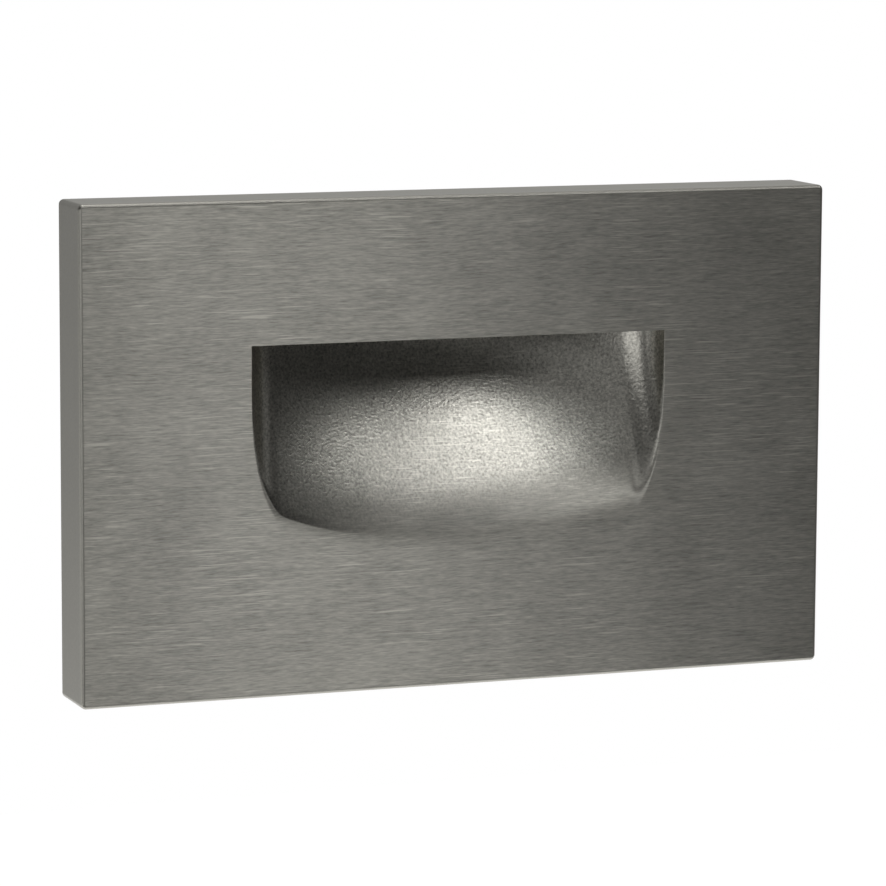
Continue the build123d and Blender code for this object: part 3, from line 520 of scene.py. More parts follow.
def dipped_epoxy(tree, place):
    """Ochre epoxy round a film capacitor."""
    return grained(tree, place, linear("#D9A22B"), 1.2, 0.02, 0.34, 0.08)


def epoxy_moulding(tree, place):
    """Moulded black epoxy of the power parts, matt with a fine grain."""
    return grained(tree, place, linear("#262628"), 0.22, 0.02, 0.56, 0.2)


def fuse_plastic(tree, place):
    """Brown-black thermoplastic case of the fuse."""
    return grained(tree, place, linear("#2C2522"), 0.5, 0.01, 0.4, 0.15)


def banded_resistor(tree, place):
    """Blue lacquered resistor bodies with plain colour bands across them."""
    low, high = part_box("resistors")
    along = add_node(tree, "SeparateXYZ", {"Vector": place})
    share = add_node(tree, "MapRange", {"Value": along, "From Min": low.x, "From Max": high.x})
    bands = add_node(tree, "ValToRGB", {"Fac": share})
    bands.color_ramp.interpolation = "CONSTANT"
    stops = bands.color_ramp.elements
    stops.remove(stops[1])
    lacquer, band_width = linear("#6E9FB5"), 0.1
    stops[0].color = lacquer
    for start, tone in ((0.16, "#5A3A22"), (0.36, "#1B1B1C"), (0.56, "#A3302A"), (0.78, "#B9923F")):
        stops.new(start).color = linear(tone)
        stops.new(start + band_width).color = lacquer
    return {"Base Color": bands, "Roughness": 0.32}


def red_cable_skin(tree, place):
    """Red silicone insulation of a lead."""
    return grained(tree, place, linear("#A81E1A"), 0.6, 0.006, 0.4, 0.08)


def black_cable_skin(tree, place):
    """Black silicone insulation of a lead."""
    return grained(tree, place, linear("#1C1C1E"), 0.6, 0.006, 0.4, 0.12)


# -------- meshes
def grid_faces(rows, columns, rows_close=False, columns_close=False):
    """Corner numbers of a grid's squares, row by row; its last row or column may meet its first."""
    row = np.arange(rows if rows_close else rows - 1)[:, None]
    column = np.arange(columns if columns_close else columns - 1)[None, :]
    up, across = (row + 1) % rows, (column + 1) % columns
    corners = (row * columns + column, row * columns + across, up * columns + across, up * columns + column)
    return np.stack([corner.ravel() for corner in corners], axis=-1)


def mesh_of(name, points, faces):
    """A mesh from points in millimetres."""
    mesh = bpy.data.meshes.new(name)
    mesh.from_pydata((np.asarray(points).reshape(-1, 3) * MM).tolist(), [], np.asarray(faces).tolist())
    return mesh


def smooth_outward(mesh):
    """Turns the faces of a closed mesh outwards and shades them smooth."""
    shape = bmesh.new()
    shape.from_mesh(mesh)
    bmesh.ops.remove_doubles(shape, verts=shape.verts, dist=MERGE * MM)
    bmesh.ops.recalc_face_normals(shape, faces=shape.faces)
    for face in shape.faces:
        face.smooth = True
    shape.to_mesh(mesh)
    shape.free()
    return mesh


def add_piece(name, mesh, body, slot, *materials):
    """An object for the mesh, riding on its body, with its materials; the slot is not used."""
    piece = bpy.data.objects.new(name, mesh)
    bpy.context.scene.collection.objects.link(piece)
    for material in materials:
        mesh.materials.append(material)
    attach(piece, body)
    return piece


def stacked_rings(half_x, half_y, corner, level, count):
    """Rectangles with round corners, one above the other: circles moved out to the corners.

    Each array has a value for each ring, and the points are x, y and level.
    """
    turn = (np.arange(count) + 0.5) * 2 * math.pi / count
    half_x, half_y, corner, level = [values[:, None] for values in (half_x, half_y, corner, level)]
    x = np.sign(np.cos(turn)) * (half_x - corner) + corner * np.cos(turn)
    y = np.sign(np.sin(turn)) * (half_y - corner) + corner * np.sin(turn)
    return np.stack([x, y, np.broadcast_to(level, x.shape)], axis=-1)


def soften(node, make, width):
    """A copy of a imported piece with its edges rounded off, in its finish, standing for it."""
    packed = frame["nodes"][node]
    shape = bmesh.new()
    shape.from_mesh(packed.data)
    bmesh.ops.remove_doubles(shape, verts=shape.verts, dist=MERGE * MM)
    bmesh.ops.dissolve_limit(shape, angle_limit=FLAT, verts=shape.verts, edges=shape.edges)
    for face in shape.faces:
        face.smooth = True
        face.material_index = 0
    mesh = bpy.data.meshes.new(f"{node}_finished")
    shape.to_mesh(mesh)
    shape.free()
    slot = packed.data.materials[0].name
    piece = add_piece(f"{node}_finished", mesh, packed["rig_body"], slot, finish(make))
    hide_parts(node)
    bevel = piece.modifiers.new("round_edges", "BEVEL")
    bevel.limit_method = "ANGLE"
    bevel.angle_limit = ROUNDED
    bevel.width = width * MM
    bevel.segments = 2
    bevel.miter_outer = "MITER_ARC"
    piece.modifiers.new("even_shading", "WEIGHTED_NORMAL")


def dress(rounding=None, **finishes):
    """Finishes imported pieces, each given by name; rounding is the width of their rounded edges."""
    for node, make in finishes.items():
        if rounding:
            soften(node, make, rounding)
        else:
            frame["nodes"][node].material_slots[0].material = finish(make)


# -------- faceplate
def scoop_skin(settings, corner):
    """The hollow's surface as rows of points, in millimetres.

    The floor's depth follows half a cosine wave from the run-out up to the ceiling. A level cut is a
    shallow arc for the floor, a round corner and a straight drafted wall, and is walked by its own
    length from the centre out to where it meets the plate's front.
    """
    top = settings.scoop_top / MM
    half = settings.scoop_half_width / MM
    full_depth = settings.scoop_depth / MM + SCOOP_LIFT
    span = top - SCOOP_RUNOUT
    lowest = SCOOP_RUNOUT + span / math.pi * math.acos(1 - 2 * SCOOP_LIFT / full_depth)
    z = lowest + (top - lowest) * np.linspace(0, 1, SCOOP_ROWS)[:, None] ** ROW_CROWDING
    depth = full_depth * (1 - np.cos(np.pi * (z - SCOOP_RUNOUT) / span)) / 2 - SCOOP_LIFT
    sag = SCOOP_BOW + SCOOP_BOW_SHARE * depth
    slope = math.tan(SCOOP_DRAFT)
    side = half - (depth - sag) * slope
    radius = (side**2 + sag**2) / (2 * sag)
    behind = radius - depth
    # Centre of the round corner: one radius inside the wall and inside the floor's arc.
    reach = half - corner / math.cos(SCOOP_DRAFT)
    a, b = slope**2 + 1, behind - reach * slope
    c = reach**2 + behind**2 - (radius - corner) ** 2
    corner_y = (-b + np.sqrt(b**2 - a * c)) / a
    corner_x = reach - slope * corner_y
    # The cut leaves the plate by its floor, its corner or its wall, whichever the front meets.
    floor_turn = np.arctan2(corner_x, corner_y + behind)
    floor_end = np.minimum(floor_turn, np.arctan2(np.sqrt(np.maximum(radius**2 - behind**2, 0)), behind))
    corner_turn = math.pi / 2 - SCOOP_DRAFT
    front_turn = np.arccos(np.clip(-corner_y / corner, -1, 1))
    corner_end = np.where(floor_end < floor_turn, floor_turn, np.clip(front_turn, floor_turn, corner_turn))
    wall_depth = np.maximum(corner_y + corner * math.sin(SCOOP_DRAFT), 0)
    wall_depth = np.where(floor_end < floor_turn, 0, wall_depth)
    floor_length = radius * floor_end
    corner_length = corner * (corner_end - floor_turn)
    wall_length = wall_depth / math.cos(SCOOP_DRAFT)
    across = np.linspace(-1, 1, SCOOP_COLUMNS)[None, :]
    walked = np.abs(across) * (floor_length + corner_length + wall_length)
    floor_angle = walked / radius
    corner_angle = floor_turn + (walked - floor_length) / corner
    down_wall = walked - floor_length - corner_length
    wall_x = corner_x + corner * math.cos(SCOOP_DRAFT) + down_wall * math.sin(SCOOP_DRAFT)
    wall_y = corner_y + corner * math.sin(SCOOP_DRAFT) - down_wall * math.cos(SCOOP_DRAFT)
    stretch = [walked <= floor_length, walked <= floor_length + corner_length]
    x = [radius * np.sin(floor_angle), corner_x + corner * np.sin(corner_angle)]
    y = [radius * np.cos(floor_angle) - behind, corner_y + corner * np.cos(corner_angle)]
    x, y = np.select(stretch, x, wall_x), np.select(stretch, y, wall_y)
    y[:, (0, -1)] = 0
    return np.stack([x * np.sign(across), PLATE_FRONT + y, np.broadcast_to(z, x.shape)], axis=-1)


def worn(depth, wear):
    """A depth below the plate's front, blended to it: a parabola from one wear above to one below."""
    return np.where(depth < wear, (depth + wear) ** 2 / (4 * wear), depth)


def lip_of(skin, wear):
    """The worn lip outside the hollow's edge, as rows of points from the edge outwards.

    The edge runs down the left side and up the right. From each of its points the lip goes straight
    out, against the slope of the skin there, to where the worn depth comes to nothing.
    """
    sides = []
    for edge, beside in ((skin[:, 0], skin[:, 1]), (skin[:, -1], skin[:, -2])):
        above = np.roll(edge, -1, axis=0)
        above[-1] = 2 * edge[-1] - edge[-2]
        normal = np.cross(beside - edge, above - edge)
        fall = -normal[:, (0, 2)] / normal[:, 1:2]
        # Straight down where the two sides meet at the run-out, and level at the ceiling.
        fall[0] = (0, np.linalg.norm(fall[1]))
        fall[-1] = (fall[-1, 0], 0)
        sides.append((edge, fall))
    edge = np.concatenate([sides[0][0][::-1], sides[1][0][1:]])
    fall = np.concatenate([sides[0][1][::-1], sides[1][1][1:]])
    steep = np.linalg.norm(fall, axis=1, keepdims=True)
    out = -fall / steep
    share = np.linspace(0, 1, LIP_STEPS)[:, None, None]
    reach = share * wear / steep
    depth = worn(-reach[..., 0] * steep[:, 0], wear)
    x, z = np.moveaxis(edge[:, (0, 2)] + out * reach, -1, 0)
    depth[-1] = 0
    return np.stack([x, PLATE_FRONT + depth, z], axis=-1)


def in_hollow(point, skin):
    """True if a point, in millimetres, is in front of the scoop's surface."""
    x, y, z = point
    if not skin[0, 0, 2] < z < skin[-1, 0, 2]:
        return False
    row = skin[np.searchsorted(skin[:, 0, 2], z)]
    return row[0, 0] < x < row[-1, 0] and y < np.interp(x, row[:, 0], row[:, 1])


def sew_scoop(skin, hollow, wear):
    """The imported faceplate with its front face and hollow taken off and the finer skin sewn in.

    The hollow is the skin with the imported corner. A packed face is its own if a point just off the
    face, on its open side, lies in it.
    """
    top = skin[-1, 0, 2]
    probe = 0.3
    shell = bmesh.new()
    shell.from_mesh(frame["nodes"]["faceplate"].data)
    bmesh.ops.remove_doubles(shell, verts=shell.verts, dist=MERGE * MM)
    taken = []
    for face in shell.faces:
        centre, normal = face.calc_center_median() / MM, face.normal
        flat_front = normal.y < -STRAIGHT and abs(centre.y - PLATE_FRONT) < NEAR
        if flat_front or in_hollow(centre + normal * probe, hollow):
            taken.append(face)
    bmesh.ops.delete(shell, geom=taken, context="FACES")
    for face in shell.faces:
        face.material_index = INSIDE
    lip = lip_of(skin, wear)
    skin = skin.copy()
    skin[..., 1] = PLATE_FRONT + worn(skin[..., 1] - PLATE_FRONT, wear)
    added = set()
    for points, kind in ((skin, SCOOP), (lip, FACE)):
        old_verts, old_faces = set(shell.verts), set(shell.faces)
        patch = mesh_of("patch", points, grid_faces(*points.shape[:2]))
        shell.from_mesh(patch)
        bpy.data.meshes.remove(patch)
        new_verts = set(shell.verts) - old_verts
        added |= new_verts
        for face in set(shell.faces) - old_faces:
            face.material_index = kind
    # The lip, added last, ends at the ceiling in two points, which an edge joins.
    corner = np.array([PLATE_FRONT, top])
    shell.edges.new([v for v in new_verts if np.abs(np.array(v.co.yz) / MM - corner).max() < MERGE])
    bmesh.ops.remove_doubles(shell, verts=list(added), dist=MERGE * MM)
    open_edges = [edge for edge in shell.edges if len(edge.link_faces) < 2]
    front = [e for e in open_edges if all(abs(v.co.y / MM - PLATE_FRONT) < NEAR for v in e.verts)]
    ceiling = [e for e in open_edges if all(abs(v.co.z / MM - top) < NEAR for v in e.verts)]
    for rim, normal, kind in ((front, (0, -1, 0), FACE), (ceiling, (0, 0, -1), SCOOP)):
        old_faces = set(shell.faces)
        bmesh.ops.triangle_fill(shell, edges=rim, use_beauty=True, normal=normal)
        for face in set(shell.faces) - old_faces:
            face.material_index = kind
    bmesh.ops.recalc_face_normals(shell, faces=shell.faces)
    return shell


def finish_shell(shell):
    """Gives each face its finish, keeps its sharp edges and lays the UV map that the belt follows."""
    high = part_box("faceplate")[1] / MM
    for face in shell.faces:
        face.smooth = True
        centre = face.calc_center_median() / MM
        at_side = abs(centre.x) > high.x - PLATE_EDGE or abs(centre.z) > high.z - PLATE_EDGE
        if face.material_index == INSIDE and at_side and face.normal.y < TURNED:
            face.material_index = SIDE
    for edge in shell.edges:
        if len(edge.link_faces) == 2 and edge.calc_face_angle() > SHARP:
            edge.smooth = False
    belt = shell.loops.layers.uv.new("belt")
    for face in shell.faces:
        for loop in face.loops:
            x, y, z = loop.vert.co
            loop[belt].uv = (z + y, x)


def numbers_of(items, name, width, kind=np.float32):
    """One property of all the items of a mesh, as an array with a row for each."""
    values = np.empty(len(items) * width, kind)
    items.foreach_get(name, values)
    return values.reshape(-1, width)


def shade_front_flat(piece):
    """Bakes the modifiers in, and gives every corner that lies on the front the front's own normal."""
    depsgraph = bpy.context.evaluated_depsgraph_get()
    mesh = bpy.data.meshes.new_from_object(piece.evaluated_get(depsgraph), depsgraph=depsgraph)
    normals = numbers_of(mesh.corner_normals, "vector", 3)
    vertex_of = numbers_of(mesh.loops, "vertex_index", 1, np.int32)[:, 0]
    size_of = numbers_of(mesh.polygons, "loop_total", 1, np.int32)[:, 0]
    facing = np.repeat(numbers_of(mesh.polygons, "normal", 3)[:, 1], size_of)
    depth = numbers_of(mesh.vertices, "co", 3)[vertex_of, 1] - PLATE_FRONT * MM
    normals[(np.abs(depth) < MERGE * MM) & (facing < -TURNED)] = (0, -1, 0)
    mesh.normals_split_custom_set(normals.tolist())
    piece.modifiers.clear()
    piece.data = mesh


class FaceplateSettings(bpy.types.PropertyGroup):
    """Sizes of the scoop in the faceplate."""

    scoop_half_width: length_property("Half width", "Half the scoop's width at the front", 35.3)
    scoop_top: length_property("Ceiling", "Height of the scoop's ceiling", 16.7)
    scoop_depth: length_property("Depth", "Depth of the scoop under its ceiling", 11.0)
    scoop_corner_radius: length_property("Corner radius", "Radius from the floor to the sides", 8.0)
    lip_wear: length_property("Lip wear", "Depth to which the scoop's lip is worn round", 0.4)


class STEPLIGHT_OT_faceplate(bpy.types.Operator):
    """Build the brushed faceplate with its blasted scoop"""

    bl_idname = "steplight.faceplate"
    bl_label = "Faceplate"

    def execute(self, context):
        settings = context.scene.steplight_faceplate
        skin = scoop_skin(settings, settings.scoop_corner_radius / MM)
        shell = sew_scoop(skin, scoop_skin(settings, PACKED_CORNER), settings.lip_wear / MM)
        finish_shell(shell)
        holes = sum(len(edge.link_faces) != 2 for edge in shell.edges)
        mesh = bpy.data.meshes.new("brushed_faceplate")
        shell.to_mesh(mesh)
        shell.free()
        if holes:
            raise RuntimeError(f"the faceplate's skin has {holes} open edges")
        finishes = [finish(make) for make in STEEL_FINISHES]
        piece = add_piece("brushed_faceplate", mesh, FIXTURE, "brushed_face", *finishes)
        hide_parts("faceplate")
        piece.modifiers.new("even_shading", "WEIGHTED_NORMAL").keep_sharp = True
        shade_front_flat(piece)
        return {"FINISHED"}


# -------- light engine
def led_package(across, down, deep):
    """One LED hanging from its board: a white cup whose window holds a bulging square of phosphor.

    Each is a stack of rounded rectangles, given by half sizes, corner and depth, closed at both ends.
    """
    bevel, rim, well, well_depth, outside, inside = 0.06, 0.34, 0.5, 0.28, 0.15, 0.3
    floor = deep - well_depth
    cup = (
        (0, 0, 0, 0),
        (across, down, outside, 0),
        (across, down, outside, deep - bevel),
        (across - bevel, down - bevel, outside - bevel / 2, deep),
        (across - rim, down - rim, inside, deep),
        (across - well, down - well, inside, floor),
        (0, 0, 0, floor),
    )
    # The phosphor starts under the well's floor; its edge, brow and crown stay below the rim.
    under, fill, edge, brow, brow_share, brow_corner, crown = 0.02, 0.44, 0.14, 0.08, 0.6, 0.2, 0.06
    phosphor = (
        (0, 0, 0, floor - under),
        (across - well + under, down - well + under, inside, floor - under),
        (across - fill, down - fill, inside, deep - edge),
        ((across - fill) * brow_share, (down - fill) * brow_share, brow_corner, deep - brow),
        (0, 0, 0, deep - crown),
    )
    return [stacked_rings(*np.array(rings).T, LED_RING) * (1, 1, -1) for rings in (cup, phosphor)]


class LedSettings(bpy.types.PropertyGroup):
    """The row of LEDs over the window."""

    count: IntProperty(name="Count", description="How many LEDs the row has", default=8, min=1)
    length: length_property("Length", "Length of one LED", 3.5)
    width: length_property("Width", "Width of one LED", 2.8)


class STEPLIGHT_OT_light_engine(bpy.types.Operator):
    """Build the LEDs and finish the lens, the board and their carrier"""

    bl_idname = "steplight.light_engine"
    bl_label = "Light engine"

    def execute(self, context):
        settings = context.scene.steplight_leds
        low, high = (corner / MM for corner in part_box("led_packages"))
        length, width = settings.length / MM, settings.width / MM
        centres = np.linspace(low.x + length / 2, high.x - length / 2, settings.count)
        middle_y = (low.y + high.y) / 2
        package = led_package(length / 2, width / 2, high.z - low.z)
        points, faces, kinds, first = [], [], [], 0
        for centre in centres:
            for kind, stack in enumerate(package):
                grid = grid_faces(*stack.shape[:2], columns_close=True)
                points.append(stack.reshape(-1, 3) + (centre, middle_y, high.z))
                faces.append(grid + first)
                kinds.append(np.full(len(grid), kind, np.int32))
                first += stack.shape[0] * stack.shape[1]
        mesh = mesh_of("leds", np.concatenate(points), np.concatenate(faces))
        mesh.polygons.foreach_set("material_index", np.concatenate(kinds))
        finishes = [finish(make) for make in (white_polycarbonate, yellow_phosphor)]
        piece = add_piece("leds", mesh, FIXTURE, "led_phosphor", *finishes)
        smooth_outward(mesh)
        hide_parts("led_packages")
        dress(
            lens=clear_glass,
            lens_gasket=soft_silicone,
            reflector_frame=white_polycarbonate,
            led_board=white_solder_mask,
            led_socket=white_nylon,
            thermal_pad=thermal_silicone,
            heat_spreader=rolled_aluminium,
            spreader_screws=zinc_plate,
        )
        return {"FINISHED"}


# -------- rear case, gland and driver
class STEPLIGHT_OT_rear_case(bpy.types.Operator):
    """Finish the cast housing and cover behind the plate, with their gaskets and screws"""

    bl_idname = "steplight.rear_case"
    bl_label = "Rear case"

    def execute(self, context):
        dress(0.35, rear_housing=powder_coat, rear_cover=powder_coat)
        dress(0.2, housing_gasket=moulded_rubber, cover_gasket=moulded_rubber)
        dress(0.12, housing_screws=zinc_plate, cover_screws=zinc_plate)
        return {"FINISHED"}


def gland_seal_profile(bore, radius, length):
    """Half the seal's section as radius and length: ribbed bore, straight outside, rounded back."""
    rib, ribs, front, chamfer, back, mouth = 0.12, 3, 0.3, 0.2, 0.8, 0.5
    turn = np.linspace(0, 2 * math.pi * ribs, RIB_POINTS * ribs + 1)
    along = front + (length - 3 * front) * turn / turn[-1]
    inner = np.stack([bore + rib * (1 - np.cos(turn)) / 2, along], axis=-1)
    quarter = np.linspace(0, math.pi / 2, BACK_POINTS)
    c, s = np.cos(quarter), np.sin(quarter)
    outer = np.stack([radius - back + back * c, length - back + back * s], axis=-1)
    entry = np.stack([bore + mouth - mouth * s, length - mouth + mouth * c], axis=-1)
    return np.concatenate([[(bore + chamfer, 0.0), (radius, 0.0)], outer, entry, inner[::-1]])


class GlandSettings(bpy.types.PropertyGroup):
    """The cable that the gland takes."""

    bore: length_property("Bore", "Diameter of the cable", 6.0)


class STEPLIGHT_OT_gland(bpy.types.Operator):
    """Build the cable seal and finish the gland round it"""

    bl_idname = "steplight.gland"
    bl_label = "Cable gland"

    def execute(self, context):
        low, high = (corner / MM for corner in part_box("gland_seal"))
        bore = context.scene.steplight_gland.bore / MM / 2
        profile = gland_seal_profile(bore, (high.x - low.x) / 2, high.y - low.y)
        turn = np.linspace(0, 2 * math.pi, SEAL_RING, endpoint=False)[None, :]
        radius, along = profile[:, :1], profile[:, 1:]
        middle = ((low.x + high.x) / 2, low.y, (low.z + high.z) / 2)
        ring = [radius * np.cos(turn), along + 0 * turn, radius * np.sin(turn)]
        points = np.stack(ring, axis=-1) + middle
        faces = grid_faces(*points.shape[:2], rows_close=True, columns_close=True)
        mesh = smooth_outward(mesh_of("cable_seal", points, faces))
        piece = add_piece("cable_seal", mesh, FIXTURE, "grey_silicone", finish(soft_silicone))
        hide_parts("gland_seal")
        dress(0.25, gland_body=moulded_nylon)
        dress(0.3, gland_nut=moulded_nylon)
        dress(0.2, gland_locknut=moulded_nylon)
        dress(0.3, gland_o_ring=moulded_rubber)
        return {"FINISHED"}


class STEPLIGHT_OT_driver(bpy.types.Operator):
    """Finish the driver's board and what it carries"""

    bl_idname = "steplight.driver"
    bl_label = "Driver"

    def execute(self, context):
        dress(
            driver_board=board_laminate,
            board_standoffs=turned_brass,
            board_screws=zinc_plate,
            insulator_sheet=polyester_film,
            transformer_core=sintered_ferrite,
            transformer_winding=wound_tape,
            bulk_capacitor=shrunk_sleeve,
            output_capacitor=shrunk_sleeve,
            film_capacitor=dipped_epoxy,
            fuse=fuse_plastic,
            bridge_rectifier=epoxy_moulding,
            driver_chip=epoxy_moulding,
            inductor=epoxy_moulding,
            resistors=banded_resistor,
            terminal_block=green_polyamide,
            terminal_screws=zinc_plate,
            led_connector=white_nylon,
            led_lead_red=red_cable_skin,
            led_lead_black=black_cable_skin,
        )
        return {"FINISHED"}


# -------- wall mount
class STEPLIGHT_OT_wall_mount(bpy.types.Operator):
    """Finish the bracket with its earth screw, and the two lock screws"""

    bl_idname = "steplight.wall_mount"
    bl_label = "Wall mount"

    def execute(self, context):
        dress(0.15, mounting_bracket=galvanised_sheet)
        dress(0.1, ground_washer=zinc_plate)
        dress(0.2, ground_screw=green_plate)
        dress(0.1, lock_screw_left=black_oxide, lock_screw_right=black_oxide)
        return {"FINISHED"}


class GasketSettings(bpy.types.PropertyGroup):
    """The foam ring between the plate and the wall."""

    width: length_property("Width", "Width of the foam", 1.4)


class STEPLIGHT_OT_wall_gasket(bpy.types.Operator):
    """Build the foam ring that seals the plate to the wall"""

    bl_idname = "steplight.wall_gasket"
    bl_label = "Wall gasket"

    def execute(self, context):
        low, high = (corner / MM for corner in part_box("wall_gasket"))
        width = context.scene.steplight_gasket.width / MM
        # The section: a flat front in the groove, two straight sides, and a crown of half an ellipse.
        crown, inner_corner = 0.35, 1.5
        arc = np.linspace(0, math.pi, CROWN_POINTS)
        inset = np.concatenate([[0.0], width / 2 - width / 2 * np.cos(arc), [width]])
        depth = np.concatenate([[low.y], high.y - crown + crown * np.sin(arc), [low.y]])
        corner = inner_corner + width - inset
        points = stacked_rings(high.x - inset, high.z - inset, corner, depth, FOAM_RING)[..., (0, 2, 1)]
        faces = grid_faces(*points.shape[:2], rows_close=True, columns_close=True)
        mesh = smooth_outward(mesh_of("foam_ring", points, faces))
        piece = add_piece("foam_ring", mesh, FIXTURE, "black_foam", finish(closed_cell_foam))
        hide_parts("wall_gasket")
        piece.modifiers.new("even_shading", "WEIGHTED_NORMAL")
        return {"FINISHED"}


# -------- stage
class STEPLIGHT_OT_stage(bpy.types.Operator):
    """Set the camera, the pale floor and the soft lamps"""

    bl_idname = "steplight.stage"
    bl_label = "Stage"

    def execute(self, context):
        scene = context.scene
        scene.view_settings.view_transform = "Standard"
        add_camera(scene)
        add_floor(scene)
        add_world(scene)
        for lamp in LAMPS:
            add_lamp(scene, *lamp)
        return {"FINISHED"}


def add_camera(scene):
    """The photograph's camera: it looks along the fitted direction at the plate's middle."""
    ahead = Vector((
        math.sin(CAMERA_YAW) * math.cos(CAMERA_PITCH),
        math.cos(CAMERA_YAW) * math.cos(CAMERA_PITCH),
        -math.sin(CAMERA_PITCH),
    ))
    level = Vector((math.cos(CAMERA_YAW), -math.sin(CAMERA_YAW), 0))
    above = level.cross(ahead)
    right = level * math.cos(CAMERA_ROLL) + above * math.sin(CAMERA_ROLL)
    up = above * math.cos(CAMERA_ROLL) - level * math.sin(CAMERA_ROLL)
    place = (-ahead * CAMERA_DISTANCE - right * CAMERA_ASIDE - up * CAMERA_ABOVE) * MM
    data = bpy.data.cameras.new("camera")
    data.sensor_width = SENSOR_WIDTH
    data.lens = FOCAL_PIXELS * SENSOR_WIDTH / PICTURE_SIDE
    data.clip_start, data.clip_end = 0.01, 50
    camera = bpy.data.objects.new("camera", data)
    turn = Matrix((right, up, -ahead)).transposed()
    camera.matrix_world = Matrix.Translation(place) @ turn.to_4x4()
    scene.collection.objects.link(camera)
    scene.camera = camera


def background_share(tree, reflected):
    """How much a ray sees the white background: all of a camera ray, the given share of the others."""
    path = add_node(tree, "LightPath").outputs
    mirrored = {0: path["Is Glossy Ray"], 1: path["Is Transmission Ray"]}
    others = add_node(tree, "Math", mirrored, operation="ADD", use_clamp=True)
    seen = {0: others, 1: reflected, 2: path["Is Camera Ray"]}
    return add_node(tree, "Math", seen, operation="MULTIPLY_ADD", use_clamp=True)


def add_floor(scene):
    """A white floor well below the light, which hangs on its wall box."""
    material, tree = start_material("white_floor")
    paint = add_node(tree, "BsdfDiffuse", {"Color": linear("#E6E6E6")})
    glow = add_node(tree, "Emission", {"Strength": background_share(tree, 1.0)})
    both = add_node(tree, "AddShader", {0: paint, 1: glow})
    add_node(tree, "OutputMaterial", {"Surface": both})
    mesh = bpy.data.meshes.new("floor")
    left, right, near, far = -FLOOR_REACH, FLOOR_REACH, FLOOR_FRONT, FLOOR_REACH
    corners = [(x, y, FLOOR_LEVEL) for x, y in ((left, near), (right, near), (right, far), (left, far))]
    mesh.from_pydata(corners, [], [(0, 1, 2, 3)])
    mesh.materials.append(material)
    floor = bpy.data.objects.new("floor", mesh)
    scene.collection.objects.link(floor)


def add_world(scene):
    """A dim room in front and a white background behind, which a viewer sees all round."""
    world = bpy.data.worlds.new("studio")
    world.use_nodes = True
    tree = world.node_tree
    tree.nodes.clear()
    ahead = add_node(tree, "TexCoord").outputs["Generated"]
    depth = add_node(tree, "SeparateXYZ", {"Vector": ahead}).outputs["Y"]
    limits = {"Value": depth, "From Max": BACKGROUND_FULL, "To Max": BACKGROUND_GLOSS}
    behind = add_node(tree, "MapRange", limits, interpolation_type="SMOOTHSTEP")
    room, white = (ROOM_GLOW, ROOM_GLOW, ROOM_GLOW, 1), (1, 1, 1, 1)
    shares = {0: background_share(tree, behind), MIX_A: room, MIX_B: white}
    mix = add_node(tree, "Mix", shares, data_type="RGBA")
    sky = add_node(tree, "Background", {"Color": mix.outputs[MIX_OUT]})
    add_node(tree, "OutputWorld", {"Surface": sky})
    scene.world = world


def add_lamp(scene, name, azimuth, elevation, width, height, brightness):
    """A soft lamp that faces the plate; azimuth 0 is in front, 90 to the viewer's right.

    Its width and height are the angles in degrees that it fills, seen from the plate.
    """
    a, e = math.radians(azimuth), math.radians(elevation)
    toward = Vector((math.sin(a) * math.cos(e), -math.cos(a) * math.cos(e), math.sin(e)))
    data = bpy.data.lights.new(name, "AREA")
    data.shape = "RECTANGLE"
    data.size = 2 * LAMP_DISTANCE * math.tan(math.radians(width / 2))
    data.size_y = 2 * LAMP_DISTANCE * math.tan(math.radians(height / 2))
    data.energy = brightness * math.pi * data.size * data.size_y
    lamp = bpy.data.objects.new(name, data)
    lamp.location = toward * LAMP_DISTANCE
    lamp.rotation_mode = "QUATERNION"
    lamp.rotation_quaternion = toward.to_track_quat("Z", "Y")
    lamp.visible_camera = False
    scene.collection.objects.link(lamp)


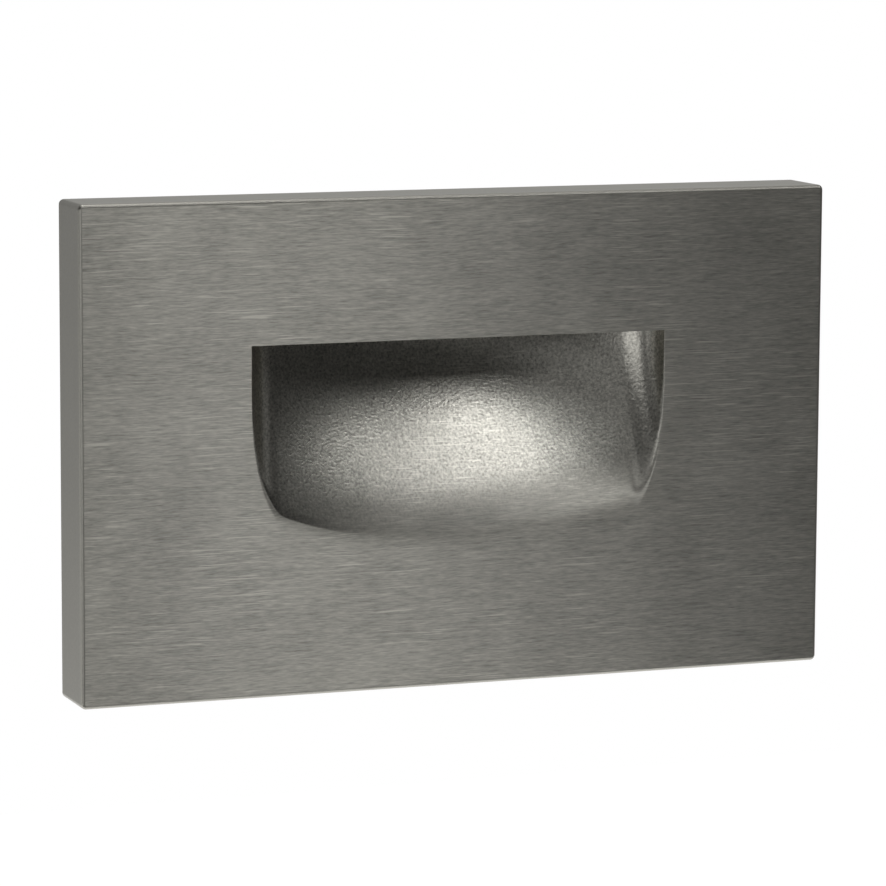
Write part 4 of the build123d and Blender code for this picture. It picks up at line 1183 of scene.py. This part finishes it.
# -------- panel and registration
class FinishSettings(bpy.types.PropertyGroup):
    """Colours of the finishes that a user would change."""

    steel: colour_property("Steel", "Tint of the stainless steel", "#B7B5AD")
    coat: colour_property("Powder coat", "Colour of the cast housing", "#3A3A3C")
    zinc: colour_property("Zinc", "Tint of the plated steel", "#C3C6C8")
    nylon: colour_property("Nylon", "Colour of the cable gland", "#1E1F21")
    seal: colour_property("Seals", "Colour of the silicone seals", "#8C9092")


class STEPLIGHT_PT_panel(bpy.types.Panel):
    """The light's pieces, in the order they are built"""

    bl_idname = "STEPLIGHT_PT_panel"
    bl_label = "Step light"
    bl_space_type = "VIEW_3D"
    bl_region_type = "UI"
    bl_category = "Step light"

    def draw(self, context):
        for operator in OPERATORS:
            self.layout.operator(operator.bl_idname)


OPERATORS = (
    STEPLIGHT_OT_faceplate,
    STEPLIGHT_OT_light_engine,
    STEPLIGHT_OT_rear_case,
    STEPLIGHT_OT_gland,
    STEPLIGHT_OT_driver,
    STEPLIGHT_OT_wall_mount,
    STEPLIGHT_OT_wall_gasket,
    STEPLIGHT_OT_stage,
)
SETTINGS = {
    "steplight_finish": FinishSettings,
    "steplight_faceplate": FaceplateSettings,
    "steplight_leds": LedSettings,
    "steplight_gland": GlandSettings,
    "steplight_gasket": GasketSettings,
}


def register():
    """Makes the settings, the operators and the panel known to Blender."""
    for group in (*SETTINGS.values(), *OPERATORS, STEPLIGHT_PT_panel):
        bpy.utils.register_class(group)
    for name, group in SETTINGS.items():
        setattr(bpy.types.Scene, name, PointerProperty(type=group))


def unregister():
    """Takes them away again."""
    for name in SETTINGS:
        delattr(bpy.types.Scene, name)
    for group in (STEPLIGHT_PT_panel, *reversed(OPERATORS), *reversed(SETTINGS.values())):
        bpy.utils.unregister_class(group)


def main():
    """Builds the pieces and the stage."""
    register()
    for operator in OPERATORS:
        group, name = operator.bl_idname.split(".")
        getattr(getattr(bpy.ops, group), name)()
    bpy.context.view_layer.update()


if __name__ == "__main__":
    main()
